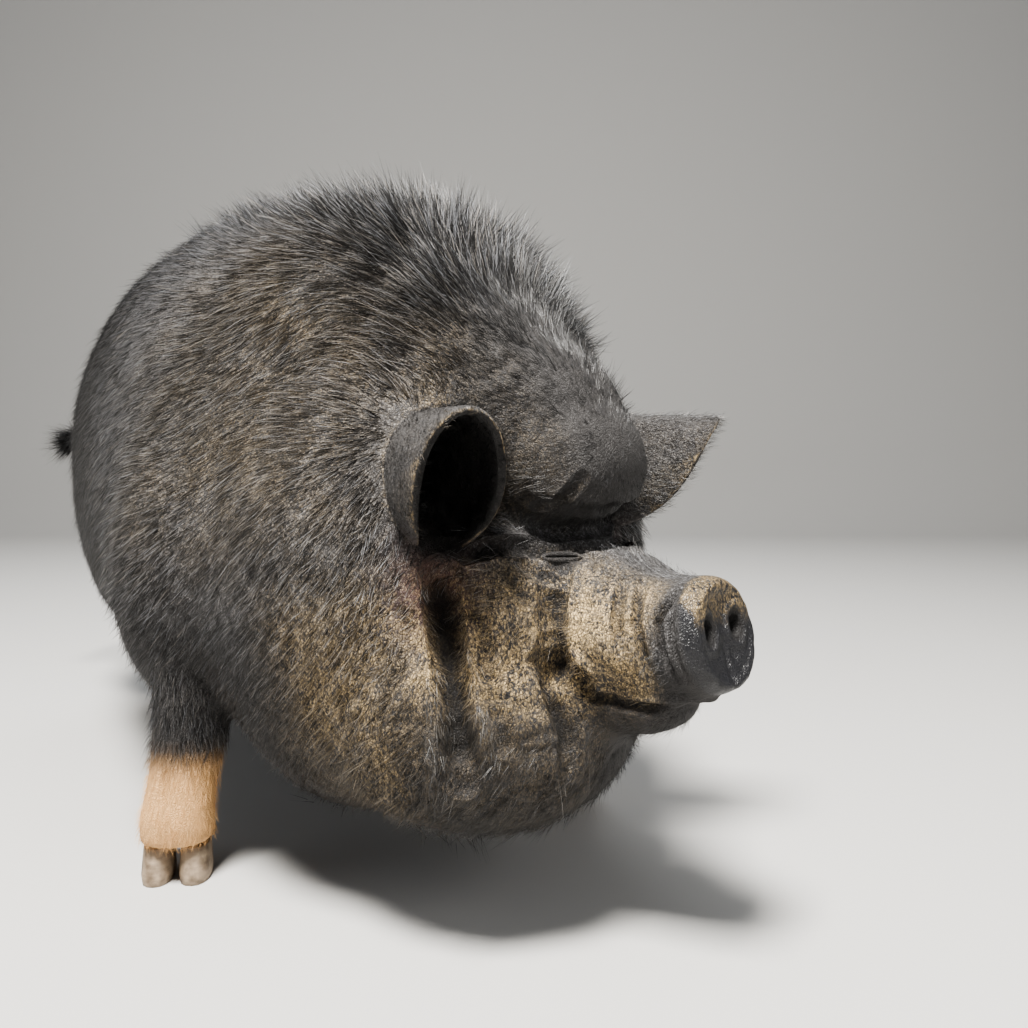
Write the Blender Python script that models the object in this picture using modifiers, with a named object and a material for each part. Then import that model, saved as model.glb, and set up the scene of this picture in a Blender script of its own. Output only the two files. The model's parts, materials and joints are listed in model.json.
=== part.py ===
"""A domestic pig, a very fat black pot-bellied one, standing still with its head held low.

Metres, +Z up, the pig faces -Y and its left is +X. The head turns a little to its left.
The body is modelled as one smooth mass of overlapping fat forms, creased, given its bristles
and then parted by thin cuts into the head, neck and torso. The middle of the floor under the
pig is the origin.
"""

import math
import random

import bmesh
import bpy
import numpy as np
from mathutils import Matrix, Vector
from mathutils.bvhtree import BVHTree

# Gap kept between neighbouring pieces
GAP = 0.0003

# Body
BACK_HEIGHT = 0.560
BELLY_CLEARANCE = 0.062
BODY_HALF_WIDTH = 0.223
RUMP_Y = 0.594
HIP_HALF_WIDTH = 0.184

# Head: its own axes are left, forward and up from the middle of the line between the ears
EAR_LINE = Vector((0.024, -0.2745, 0.300))
HEAD_TURN = math.radians(17.0)
DISC_FORWARD = 0.186
DISC_DROP = 0.083
DISC_HALF_WIDTH = 0.0365
DISC_HALF_HEIGHT = 0.0365
DISC_LEAN = 0.24
SNOUT_DISC_DEPTH = 0.011
NOSTRIL_PLACE = (0.0150, -0.078)
NOSTRIL_HALF_WIDTH = 0.0062
NOSTRIL_HALF_HEIGHT = 0.0085

# Ears: a hood over the ear hole that points forward and outward, the left one further out
EAR_ROOT = (0.066, -0.010)
EAR_LENGTH = 0.130
EAR_OUTWARD = {"right": math.radians(31), "left": math.radians(38)}
EAR_TOP = 0.057
EAR_TOP_FALL = 0.004
EAR_HALF_WIDTH = 0.034
EAR_HALF_HEIGHT = 0.052
EAR_THICKNESS = 0.0045

# Eyes: squeezed into a slit between fat lids
EYE_PLACE = (0.041, 0.090, -0.036)
EYE_RADIUS = 0.0100
LID_HALF_LENGTH = 0.0140
LID_HALF_OPENING = 0.0055
LID_RADIUS = 0.0034

# Legs: where each foot stands and how far its toes turn out
FRONT_FOOT_RIGHT = (-0.182, -0.125)
FRONT_FOOT_LEFT = (0.172, -0.122)
HIND_FOOT = (0.088, 0.380)
CORONET_HEIGHT = 0.027
TOE_OUT = math.radians(24)
CLAW_LENGTH = 0.040
CLAW_WIDTH = 0.024
CLEFT = 0.004

# Tail, swung round the rump to the pig's right
TAIL_ROOT_RADIUS = 0.013
TAIL_TIP_RADIUS = 0.006
TAIL_CUT_X = -0.110

# Where the body is parted: a point of each cut and the way its front side faces
NECK_CUT = (Vector((0.0, -0.085, 0.2155)), Vector((0.0, -1.0, 0.4)))
HEAD_CUT_FORWARD = -0.035

# Bristles: locks that are longest and stand up on the crest and lie flat on the sides
SEED = 7
CREST_HALF_WIDTH = 0.075
CREST_END_Y = 0.160
CREST_LOCK = {"spacing": 0.030, "length": 0.046, "width": 0.0200, "lift": math.radians(40)}
COAT_LOCK = {"spacing": 0.067, "length": 0.060, "width": 0.0360, "lift": math.radians(19)}
JOWL_LOCK = {"spacing": 0.060, "length": 0.034, "width": 0.0200, "lift": math.radians(20)}
COAT_LOW_EDGE = 0.255
LOCK_HALF_THICKNESS = 0.0015
LOCK_ROOT_DEPTH = 0.0055
LOCK_CLEARANCE = 0.003
TASSEL_LOCKS = 7
TASSEL_LENGTH = 0.040

# Resolution
BODY_VOXEL = 0.012
HEAD_VOXEL = 0.006
BODY_SMOOTHING = 14
HEAD_SMOOTHING = 8
BODY_TRIANGLES = 4200
RING_POINTS = 32


def clear_scene():
    for obj in list(bpy.data.objects):
        bpy.data.objects.remove(obj, do_unlink=True)


def new_collection(name):
    collection = bpy.data.collections.new(name)
    bpy.context.scene.collection.children.link(collection)
    return collection


def make_material(name, colour, roughness):
    material = bpy.data.materials.new(name)
    material.use_nodes = True
    shader = material.node_tree.nodes["Principled BSDF"]
    shader.inputs["Base Color"].default_value = (*colour, 1.0)
    shader.inputs["Roughness"].default_value = roughness
    material.diffuse_color = (*colour, 1.0)
    return material


def object_from_bmesh(name, bm, collection):
    bmesh.ops.recalc_face_normals(bm, faces=bm.faces)
    mesh = bpy.data.meshes.new(name)
    bm.to_mesh(mesh)
    bm.free()
    obj = bpy.data.objects.new(name, mesh)
    collection.objects.link(obj)
    return obj


def bake_modifiers(obj):
    """Replaces the object's mesh by what its modifiers give."""
    bpy.context.view_layer.update()
    depsgraph = bpy.context.evaluated_depsgraph_get()
    mesh = bpy.data.meshes.new_from_object(obj.evaluated_get(depsgraph))
    obj.modifiers.clear()
    obj.data = mesh


def copy_of(obj, name, collection):
    twin = bpy.data.objects.new(name, obj.data.copy())
    collection.objects.link(twin)
    return twin


def remove(*objects):
    for obj in objects:
        bpy.data.objects.remove(obj, do_unlink=True)


def boolean(obj, other, operation):
    """Joins or cuts obj by another closed object and leaves that object in place."""
    step = obj.modifiers.new(operation.lower(), "BOOLEAN")
    step.operation = operation
    step.solver = "MANIFOLD"
    step.object = other
    bake_modifiers(obj)


def join_collection(obj, collection):
    """One union of obj with every closed mesh of a collection, which is then emptied."""
    step = obj.modifiers.new("join", "BOOLEAN")
    step.operation = "UNION"
    step.solver = "MANIFOLD"
    step.operand_type = "COLLECTION"
    step.collection = collection
    bake_modifiers(obj)
    remove(*collection.objects)


def keep_largest(obj):
    """Keeps the largest closed surface of a node and drops loose scraps."""
    bm = bmesh.new()
    bm.from_mesh(obj.data)
    unseen = set(bm.faces)
    best = set()
    while unseen:
        island = {unseen.pop()}
        front = list(island)
        while front:
            face = front.pop()
            for edge in face.edges:
                for near in edge.link_faces:
                    if near in unseen:
                        unseen.discard(near)
                        island.add(near)
                        front.append(near)
        if sum(f.calc_area() for f in island) > sum(f.calc_area() for f in best):
            best = island
    bmesh.ops.delete(bm, geom=[f for f in bm.faces if f not in best], context="FACES")
    bmesh.ops.triangulate(bm, faces=bm.faces)
    bm.to_mesh(obj.data)
    bm.free()


def grown(obj, amount, collection):
    """A cutter: a copy of obj with its surface moved out by amount."""
    cutter = copy_of(obj, obj.name + "_cutter", collection)
    cutter.hide_render = True
    cutter.display_type = "WIRE"
    bm = bmesh.new()
    bm.from_mesh(cutter.data)
    bm.normal_update()
    moves = [(v, v.normal * amount) for v in bm.verts]
    for vert, move in moves:
        vert.co += move
    bm.to_mesh(cutter.data)
    bm.free()
    return cutter


def cut_front(obj, point, facing, cutters):
    """Cuts away all of obj in front of a plane: a point of it and the way it faces."""
    facing = facing.normalized()
    bm = bmesh.new()
    bmesh.ops.create_cube(bm, size=2.0)
    turn = facing.to_track_quat("Z", "Y").to_matrix().to_4x4()
    place = Matrix.Translation(point + facing) @ turn
    bmesh.ops.transform(bm, matrix=place, verts=bm.verts)
    block = object_from_bmesh("block", bm, cutters)
    boolean(obj, block, "DIFFERENCE")
    remove(block)


def head_axes():
    left = Vector((math.cos(HEAD_TURN), math.sin(HEAD_TURN), 0.0))
    forward = Vector((math.sin(HEAD_TURN), -math.cos(HEAD_TURN), 0.0))
    return left, forward, Vector((0.0, 0.0, 1.0))


def head_direction(left, forward, up):
    x, y, z = head_axes()
    return x * left + y * forward + z * up


def on_head(left, forward, up):
    """A point of the head's own axes, in the pig's."""
    return EAR_LINE + head_direction(left, forward, up)


def mass(collection, centre, radii, turn=0.0):
    """An egg of fat or bone: centre, half sizes and its turn about Z."""
    bm = bmesh.new()
    bmesh.ops.create_uvsphere(bm, u_segments=32, v_segments=18, radius=1.0)
    place = (
        Matrix.Translation(centre)
        @ Matrix.Rotation(turn, 4, "Z")
        @ Matrix.Diagonal((*radii, 1.0))
    )
    bmesh.ops.transform(bm, matrix=place, verts=bm.verts)
    return object_from_bmesh("mass", bm, collection)


def head_mass(collection, place, radii):
    return mass(collection, on_head(*place), radii, HEAD_TURN)


def ring(centre, side, lift, half_width, rise, drop, power=2.2):
    """Points round a rounded section, with its own height above and below the centre."""
    points = []
    for step in range(RING_POINTS):
        angle = math.tau * step / RING_POINTS
        c, s = math.cos(angle), math.sin(angle)
        across = math.copysign(abs(c) ** (2 / power), c) * half_width
        along = math.copysign(abs(s) ** (2 / power), s) * (rise if s > 0 else drop)
        points.append(centre + side * across + lift * along)
    return points


def loft(name, collection, rings):
    """Skins a row of rings with equal counts and closes both ends."""
    bm = bmesh.new()
    rows = [[bm.verts.new(point) for point in points] for points in rings]
    count = len(rows[0])
    for low, high in zip(rows, rows[1:]):
        for i in range(count):
            j = (i + 1) % count
            bm.faces.new((low[i], low[j], high[j], high[i]))
    bm.faces.new(rows[0])
    bm.faces.new(rows[-1])
    return object_from_bmesh(name, bm, collection)


def smooth_row(keys, count):
    """Rows between the key rows, eased so that the sizes run on without kinks."""
    keys = np.array(keys, dtype=float)
    rows = []
    for place in np.linspace(0, len(keys) - 1, count):
        i = min(int(place), len(keys) - 2)
        t = place - i
        a, b = keys[i], keys[i + 1]
        before = keys[max(i - 1, 0)]
        after = keys[min(i + 2, len(keys) - 1)]
        bend = (2 * before - 5 * a + 4 * b - after) * t**2
        twist = (3 * a - before - 3 * b + after) * t**3
        rows.append(0.5 * (2 * a + (b - before) * t + bend + twist))
    return rows


def barrel(collection):
    """Chest, barrel and rump as one loft along Y: y, half width, top, bottom."""
    stations = smooth_row(
        [
            (-0.235, 0.105, 0.400, 0.160),
            (-0.190, 0.165, 0.470, 0.110),
            (-0.100, 0.205, 0.532, BELLY_CLEARANCE + 0.010),
            (0.000, BODY_HALF_WIDTH, BACK_HEIGHT, BELLY_CLEARANCE),
            (0.140, BODY_HALF_WIDTH, BACK_HEIGHT + 0.008, BELLY_CLEARANCE),
            (0.290, 0.213, BACK_HEIGHT - 0.005, BELLY_CLEARANCE + 0.012),
            (0.420, HIP_HALF_WIDTH, BACK_HEIGHT - 0.030, 0.115),
            (0.510, 0.160, BACK_HEIGHT - 0.075, 0.180),
            (0.565, 0.105, BACK_HEIGHT - 0.130, 0.245),
            (RUMP_Y, 0.035, BACK_HEIGHT - 0.205, 0.320),
        ],
        40,
    )
    rings = []
    for y, half, top, bottom in stations:
        middle = bottom + (top - bottom) * 0.47
        centre = Vector((0.0, y, middle))
        side, lift = Vector((1, 0, 0)), Vector((0, 0, 1))
        rings.append(ring(centre, side, lift, half, top - middle, middle - bottom))
    return loft("barrel", collection, rings)


def neck_masses(collection):
    """Crest, the two thick rolls beside the neck, and the hanging brisket."""
    mass(collection, (0.003, -0.110, 0.400), (0.160, 0.160, 0.140))
    mass(collection, (0.020, -0.195, 0.365), (0.130, 0.125, 0.120))
    mass(collection, (-0.050, -0.192, 0.228), (0.126, 0.148, 0.180))
    mass(collection, (0.116, -0.136, 0.236), (0.113, 0.132, 0.176))
    mass(collection, (0.000, -0.280, 0.143), (0.122, 0.120, 0.090))


def haunch_masses(collection):
    """Shoulders that swell over the forelegs and the hams behind."""
    for side in (-1, 1):
        mass(collection, (side * 0.154, -0.090, 0.240), (0.078, 0.098, 0.132))
        mass(collection, (side * 0.120, 0.420, 0.255), (0.075, 0.110, 0.160))


def head_loft(name, collection, stations, count):
    """A loft along the head: forward, half width, top, bottom and lean of each station."""
    left, forward, up = head_axes()
    rings = []
    for along, half, top, bottom, lean in smooth_row(stations, count):
        middle = (top + bottom) / 2
        centre = on_head(0, along, middle)
        lift = up - forward * lean
        rings.append(ring(centre, left, lift, half, top - middle, middle - bottom))
    return loft(name, collection, rings)


def head_masses(collection):
    """Dome, brow roll, cheeks, jowls, muzzle and jaw, in the head's own axes."""
    head_mass(collection, (0, -0.020, 0.052), (0.088, 0.090, 0.096))
    head_mass(collection, (0, 0.022, 0.040), (0.078, 0.074, 0.074))
    head_mass(collection, (0, 0.052, 0.024), (0.066, 0.062, 0.050))
    for side in (-1, 1):
        head_mass(collection, (side * 0.044, 0.030, -0.085), (0.048, 0.066, 0.074))
        head_mass(collection, (side * 0.034, 0.052, -0.062), (0.040, 0.050, 0.034))
        head_mass(collection, (side * 0.043, 0.014, -0.156), (0.058, 0.074, 0.077))
    disc_top = DISC_HALF_HEIGHT - DISC_DROP
    disc_bottom = -DISC_HALF_HEIGHT - DISC_DROP
    head_loft(
        "muzzle",
        collection,
        [
            (0.030, 0.076, -0.018, -0.140, 0.0),
            (0.085, 0.060, -0.028, -0.136, 0.0),
            (0.114, 0.056, -0.034, -0.134, 0.0),
            (0.136, 0.049, -0.042, -0.130, DISC_LEAN * 0.5),
            (0.154, 0.041, disc_top - 0.001, disc_bottom - 0.003, DISC_LEAN),
            (0.170, 0.0375, disc_top - 0.002, disc_bottom - 0.001, DISC_LEAN),
            (DISC_FORWARD - 0.004, DISC_HALF_WIDTH, disc_top + 0.001, disc_bottom, DISC_LEAN),
            (DISC_FORWARD, DISC_HALF_WIDTH - 0.003, disc_top - 0.002, disc_bottom + 0.003, DISC_LEAN),
        ],
        25,
    )
    head_loft(
        "jaw",
        collection,
        [
            (0.020, 0.060, -0.100, -0.190, 0.0),
            (0.080, 0.048, -0.100, -0.172, 0.0),
            (0.125, 0.040, -0.100, -0.158, 0.1),
            (0.155, 0.031, -0.104, -0.148, 0.2),
            (0.176, 0.015, -0.112, -0.139, 0.2),
        ],
        14,
    )


def join_objects(name, collection):
    """All the meshes of a collection in one mesh, still overlapping."""
    bm = bmesh.new()
    for obj in list(collection.objects):
        bm.from_mesh(obj.data)
        remove(obj)
    mesh = bpy.data.meshes.new(name)
    bm.to_mesh(mesh)
    bm.free()
    obj = bpy.data.objects.new(name, mesh)
    collection.objects.link(obj)
    return obj


def melt(obj, voxel, steps):
    """Fuses overlapping forms into one skin and relaxes it."""
    remesh = obj.modifiers.new("fuse", "REMESH")
    remesh.mode = "VOXEL"
    remesh.voxel_size = voxel
    relax = obj.modifiers.new("relax", "SMOOTH")
    relax.factor = 0.5
    relax.iterations = steps
    bake_modifiers(obj)


def body_core(collection):
    """The whole body without its bristles, ears, legs and tail."""
    barrel(collection)
    neck_masses(collection)
    haunch_masses(collection)
    trunk = join_objects("trunk", collection)
    melt(trunk, BODY_VOXEL, BODY_SMOOTHING)
    head_masses(collection)
    core = join_objects("core", collection)
    melt(core, HEAD_VOXEL, HEAD_SMOOTHING)
    return core


def nearest_on(tree, points):
    """Each point moved to the surface, so that a crease keeps to the skin."""
    return [tree.find_nearest(point)[0] for point in points]


def distance_to_path(places, path):
    """How far each place lies from a line through the path's points."""
    best = np.full(len(places), np.inf)
    for start, end in zip(path, path[1:]):
        a, b = np.array(start), np.array(end)
        along = np.clip((places - a) @ (b - a) / max((b - a) @ (b - a), 1e-12), 0, 1)
        best = np.minimum(best, np.linalg.norm(places - (a + along[:, None] * (b - a)), axis=1))
    return best


def crease(obj, path, depth, width, swell):
    """Presses a crease along a path into the skin and swells the flesh on both sides of it."""
    mesh = obj.data
    places = np.empty(len(mesh.vertices) * 3)
    mesh.vertices.foreach_get("co", places)
    places = places.reshape(-1, 3)
    normals = np.array([v.normal for v in mesh.vertices])
    tree = BVHTree.FromPolygons(places.tolist(), [list(p.vertices) for p in mesh.polygons])
    line = [path[0]]
    for start, end in zip(path, path[1:]):
        line += [start.lerp(end, t) for t in (0.25, 0.5, 0.75, 1.0)]
    away = distance_to_path(places, nearest_on(tree, line)) / width
    move = swell * np.exp(-((away - 2.0) ** 2)) - depth * np.exp(-(away**2))
    places += normals * move[:, None]
    mesh.vertices.foreach_set("co", places.ravel())
    mesh.update()


def face_creases(core):
    """Brow folds, cheek folds, the mouth, the wrinkles behind the disc and the neck folds."""
    brow = [(0.086, 0.040, -0.034), (0.051, 0.080, -0.028), (0.014, 0.100, -0.025)]
    full_brow = [(-a, b, c) for a, b, c in brow] + brow[::-1]
    crease(core, [on_head(*p) for p in full_brow], 0.007, 0.0055, 0.0015)
    folds = {
        "cheek": (
            [
                (0.050, 0.094, -0.050),
                (0.058, 0.098, -0.066),
                (0.060, 0.100, -0.088),
                (0.056, 0.103, -0.103),
                (0.048, 0.112, -0.114),
            ],
            (0.008, 0.006, 0.002),
        ),
        "mouth": (
            [
                (0.052, 0.108, -0.110),
                (0.042, 0.121, -0.122),
                (0.036, 0.135, -0.128),
                (0.028, 0.152, -0.128),
                (0.016, 0.168, -0.127),
                (0.000, 0.173, -0.126),
            ],
            (0.007, 0.0045, 0.002),
        ),
        "jowl": (
            [(0.062, 0.092, -0.104), (0.059, 0.101, -0.124), (0.055, 0.110, -0.145), (0.054, 0.110, -0.168)],
            (0.005, 0.006, 0.0015),
        ),
        "wrinkle near the disc": (
            [(0.022, 0.168, -0.052), (0.037, 0.163, -0.072), (0.038, 0.167, -0.090), (0.031, 0.172, -0.107)],
            (0.0045, 0.004, 0.0012),
        ),
        "wrinkle on the snout": (
            [(0.024, 0.142, -0.050), (0.041, 0.150, -0.074), (0.041, 0.155, -0.091), (0.034, 0.157, -0.108)],
            (0.0035, 0.004, 0.001),
        ),
        "neck": (
            [
                (0.096, 0.037, -0.050),
                (0.098, 0.043, -0.078),
                (0.103, 0.052, -0.102),
                (0.112, 0.066, -0.134),
                (0.112, 0.072, -0.171),
            ],
            (0.007, 0.008, 0.002),
        ),
    }
    for path, (depth, width, swell) in folds.values():
        for side in (-1, 1):
            line = [on_head(side * a, b, c) for a, b, c in path]
            crease(core, line, depth, width, swell)


def eye_frame(side, tree):
    """Centre on the skin and axes of an eye: along the slit, up the lids and outward."""
    a, b, c = EYE_PLACE
    place, normal, *_ = tree.find_nearest(on_head(side * a, b, c))
    outward = head_direction(side * 0.60, 0.70, 0.35).normalized()
    along = outward.cross(Vector((0, 0, 1))).normalized()
    return place, along, along.cross(outward).normalized(), outward


def lid_ring(frame, collection):
    """Both lids of an eye as one fat almond ring round the slit."""
    place, along, up, outward = frame
    bm = bmesh.new()
    around, section = 20, 6
    rows = []
    for i in range(around):
        angle = math.tau * i / around
        out = Vector((math.cos(angle), math.sin(angle), 0.0))
        middle = Vector((out.x * LID_HALF_LENGTH, out.y * LID_HALF_OPENING, 0.0))
        row = []
        for j in range(section):
            turn = math.tau * j / section
            local = middle + out * math.cos(turn) * LID_RADIUS
            rise = math.sin(turn) * LID_RADIUS
            row.append(bm.verts.new(place + along * local.x + up * local.y + outward * rise))
        rows.append(row)
    for i in range(around):
        for j in range(section):
            k, m = (i + 1) % around, (j + 1) % section
            bm.faces.new((rows[i][j], rows[k][j], rows[k][m], rows[i][m]))
    return object_from_bmesh("lids", bm, collection)


def eyeball(name, frame, collection):
    place, along, up, outward = frame
    bm = bmesh.new()
    bmesh.ops.create_icosphere(bm, subdivisions=2, radius=EYE_RADIUS)
    centre = place - outward * (EYE_RADIUS - 0.0016)
    bmesh.ops.translate(bm, vec=centre, verts=bm.verts)
    return object_from_bmesh(name, bm, collection)


def ear(side_name, collection):
    """One ear: an arched hood whose open side slants back from its tip to its root."""
    side = 1 if side_name == "left" else -1
    left, forward, up = head_axes()
    turn = EAR_OUTWARD[side_name]
    axis = left * (side * math.sin(turn)) + forward * math.cos(turn)
    across = axis.cross(up)
    root = on_head(side * EAR_ROOT[0], EAR_ROOT[1], 0.0)
    along_count, round_count = 11, 11
    bm = bmesh.new()
    rows = []
    for i in range(along_count):
        u = i / (along_count - 1)
        reach = math.radians(68 + 92 * (1 - u**2.4) ** 0.70)
        half_width = EAR_HALF_WIDTH * (1 - 0.30 * u**2)
        half_height = EAR_HALF_HEIGHT * (1 - 0.25 * u)
        top = EAR_TOP - EAR_TOP_FALL * u**2
        row = []
        for j in range(round_count):
            angle = reach * (2 * j / (round_count - 1) - 1)
            height = top - half_height * (1 - math.cos(angle))
            pull = EAR_LENGTH * u - 0.018 * (angle / reach) ** 2 * u**2
            row.append(
                bm.verts.new(root + axis * pull + across * half_width * math.sin(angle) + up * height)
            )
        rows.append(row)
    for low, high in zip(rows, rows[1:]):
        for j in range(round_count - 1):
            bm.faces.new((low[j], low[j + 1], high[j + 1], high[j]))
    hood = object_from_bmesh("ear_" + side_name, bm, collection)
    wall = hood.modifiers.new("thickness", "SOLIDIFY")
    wall.thickness = EAR_THICKNESS
    wall.offset = 0.0
    bake_modifiers(hood)
    return hood


def leg(name, foot, turn, stations, collection):
    """One leg as a column of sections: height, half width, half depth, shifts back and inward."""
    side = Vector((math.cos(turn), math.sin(turn), 0.0))
    back = Vector((-math.sin(turn), math.cos(turn), 0.0))
    rings = []
    for height, half_width, half_depth, shift, inward in smooth_row(stations, 12):
        across = foot[0] - math.copysign(inward, foot[0])
        centre = Vector((across, foot[1], height)) + back * shift
        rings.append(ring(centre, side, back, half_width, half_depth, half_depth, 2.4)[::2])
    return loft(name, collection, rings)


def claw(name, foot, turn, side, collection):
    """One claw of a cloven foot: a flat-soled wedge that narrows up to the coronet."""
    across = Vector((math.cos(turn), math.sin(turn), 0.0))
    back = Vector((-math.sin(turn), math.cos(turn), 0.0))
    half = CLAW_WIDTH / 2
    offset = side * (half + CLEFT / 2)
    rings = []
    for height, width, front, rear in (
        (0.0, 0.94, -0.62, 0.40),
        (0.006, 1.0, -0.63, 0.42),
        (0.016, 0.96, -0.54, 0.40),
        (CORONET_HEIGHT, 0.90, -0.44, 0.38),
    ):
        middle = (front + rear) / 2 * CLAW_LENGTH
        reach = (rear - front) / 2 * CLAW_LENGTH
        centre = Vector((foot[0], foot[1], height)) + across * offset + back * middle
        rings.append(ring(centre, across, back, half * width, reach, reach, 2.3)[::2])
    return loft(name, collection, rings)


def dewclaw(name, foot, turn, side, collection):
    """A small claw behind the pastern that hangs clear of the floor."""
    across = Vector((math.cos(turn), math.sin(turn), 0.0))
    back = Vector((-math.sin(turn), math.cos(turn), 0.0))
    root = Vector((foot[0], foot[1], 0.046)) + across * side * 0.013 + back * 0.018
    tip = root + back * 0.022 - Vector((0, 0, 0.030)) + across * side * 0.004
    axis = (tip - root).normalized()
    lift = axis.cross(across).normalized()
    rings = []
    for t, size in ((0.0, 0.0075), (0.45, 0.0078), (0.8, 0.0062), (1.0, 0.0035)):
        rings.append(ring(root.lerp(tip, t), across, lift, size, size * 0.8, size * 0.8)[::4])
    return loft(name, collection, rings)


def tail_row():
    """Stations along the tail, from inside the rump round to the pig's right: x, y, z, radius."""
    keys = [
        (0.000, 0.560, 0.405, TAIL_ROOT_RADIUS),
        (-0.030, 0.604, 0.398, TAIL_ROOT_RADIUS * 0.92),
        (-0.085, 0.612, 0.385, TAIL_ROOT_RADIUS * 0.80),
        (-0.136, 0.592, 0.365, TAIL_ROOT_RADIUS * 0.68),
        (-0.164, 0.560, 0.348, TAIL_ROOT_RADIUS * 0.58),
        (-0.180, 0.530, 0.336, TAIL_TIP_RADIUS),
    ]
    return smooth_row(keys, 16)


def tail(collection):
    rows = tail_row()
    rings = []
    for i, (x, y, z, radius) in enumerate(rows):
        before, after = rows[max(i - 1, 0)], rows[min(i + 1, len(rows) - 1)]
        axis = Vector(after[:3] - before[:3]).normalized()
        side = axis.cross(Vector((0, 0, 1))).normalized()
        lift = side.cross(axis)
        rings.append(ring(Vector((x, y, z)), side, lift, radius, radius, radius, 2.0)[::4])
    return loft("tail", collection, rings)


def nostril(side, collection):
    """A closed oval plug that opens one nostril in the disc."""
    left, forward, up = head_axes()
    rings = []
    rise = NOSTRIL_PLACE[1] + DISC_DROP
    for along, size in ((0.006, 1.0), (-0.002, 0.95), (-0.009, 0.55)):
        ahead = DISC_FORWARD + along - rise * DISC_LEAN
        centre = on_head(side * NOSTRIL_PLACE[0], ahead, NOSTRIL_PLACE[1])
        rings.append(
            ring(
                centre,
                left,
                up,
                NOSTRIL_HALF_WIDTH * size,
                NOSTRIL_HALF_HEIGHT * size,
                NOSTRIL_HALF_HEIGHT * size,
                2.0,
            )[::3]
        )
    return loft("nostril", collection, rings)


def coat_flow(place, normal):
    """The way the bristles lie at a place: backward and, on the sides, downward."""
    slope = 1.0 - max(normal.z, 0.0)
    flow = Vector((0.25 * normal.x, 1.0, -0.85 * slope))
    if place.y < -0.18:
        flow = Vector((0.45 * normal.x, 0.75, -1.1 * slope))
    return (flow - normal * flow.dot(normal)).normalized()


def lock_kind(place, normal):
    """Which locks grow at a place, or None where the coat is too short to stand out."""
    ahead = head_direction(0, 1, 0).dot(place - EAR_LINE)
    if ahead > 0.045 or place.z < 0.085 or normal.z < -0.75:
        return None
    if ahead > -0.05 and place.z < 0.270:
        return JOWL_LOCK
    middle = EAR_LINE.x * min(max(-place.y / 0.27, 0.0), 1.0)
    if normal.z > 0.45 and abs(place.x - middle) < CREST_HALF_WIDTH and place.y < CREST_END_Y:
        return CREST_LOCK
    if ahead > -0.02 or place.z < COAT_LOW_EDGE:
        return None
    return COAT_LOCK


def lock_line(root, normal, flow, length, lift):
    """Centre line of a lock: it leaves the skin at its lift and bends back to it."""
    line = []
    for t in (0.0, 0.30, 0.68, 1.0):
        rise = length * math.sin(lift) * (t - 0.5 * t * t) - LOCK_ROOT_DEPTH * (1 - t) ** 3
        line.append(root + flow * length * math.cos(lift) * (t - 0.08) + normal * rise)
    return line


def lock(line, normal, width, collection):
    """One flat, tapered lock of a four-sided section that ends in a point."""
    bm = bmesh.new()
    rows = []
    for i, size in enumerate((0.70, 1.0, 0.72)):
        axis = (line[i + 1] - line[max(i - 1, 0)]).normalized()
        across = axis.cross(normal).normalized()
        lift = across.cross(axis)
        corners = (
            across * width * size / 2,
            lift * LOCK_HALF_THICKNESS,
            across * -width * size / 2,
            lift * -LOCK_HALF_THICKNESS,
        )
        rows.append([bm.verts.new(line[i] + corner) for corner in corners])
    tip = bm.verts.new(line[-1])
    bm.faces.new(rows[0])
    for low, high in zip(rows, rows[1:]):
        for i in range(4):
            j = (i + 1) % 4
            bm.faces.new((low[i], low[j], high[j], high[i]))
    for i in range(4):
        bm.faces.new((rows[-1][i], rows[-1][(i + 1) % 4], tip))
    return object_from_bmesh("lock", bm, collection)


def skin_places(obj, count, dice):
    """Seeded random places on a mesh, evenly by area, each with its normal."""
    mesh = obj.data
    mesh.calc_loop_triangles()
    corners = [[mesh.vertices[i] for i in t.vertices] for t in mesh.loop_triangles]
    areas = [t.area for t in mesh.loop_triangles]
    places = []
    for a, b, c in dice.choices(corners, weights=areas, k=count):
        u, v = sorted((dice.random(), dice.random()))
        place = a.co * u + b.co * (v - u) + c.co * (1 - v)
        normal = a.normal * u + b.normal * (v - u) + c.normal * (1 - v)
        places.append((place, normal.normalized()))
    return places


def is_clear(line, width, trees):
    """Whether a lock keeps clear of every other piece."""
    room = LOCK_CLEARANCE + width / 2
    return all(tree.find_nearest(point)[3] > room for point in line for tree in trees)


def is_in_front(point, cut):
    place, facing = cut
    return facing.normalized().dot(point - place) > 0


def bristles(core, pieces, cuts, collection):
    """Grows the locks of the crest, the coat and the jowls over the body."""
    dice = random.Random(SEED)
    depsgraph = bpy.context.evaluated_depsgraph_get()
    trees = [BVHTree.FromObject(piece, depsgraph) for piece in pieces]
    taken = []
    for place, normal in skin_places(core, 9000, dice):
        kind = lock_kind(place, normal)
        if not kind or any((place - other).length < kind["spacing"] for other in taken):
            continue
        flow = coat_flow(place, normal)
        flow = Matrix.Rotation(dice.uniform(-0.28, 0.28), 3, normal) @ flow
        length = kind["length"] * dice.uniform(0.82, 1.12)
        line = lock_line(place, normal, flow, length, kind["lift"] * dice.uniform(0.8, 1.15))
        width = kind["width"] * dice.uniform(0.85, 1.1)
        whole = all(len({is_in_front(point, cut) for point in line}) == 1 for cut in cuts)
        if whole and is_clear(line, width, trees):
            taken.append(place)
            lock(line, normal, width, collection)


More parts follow.
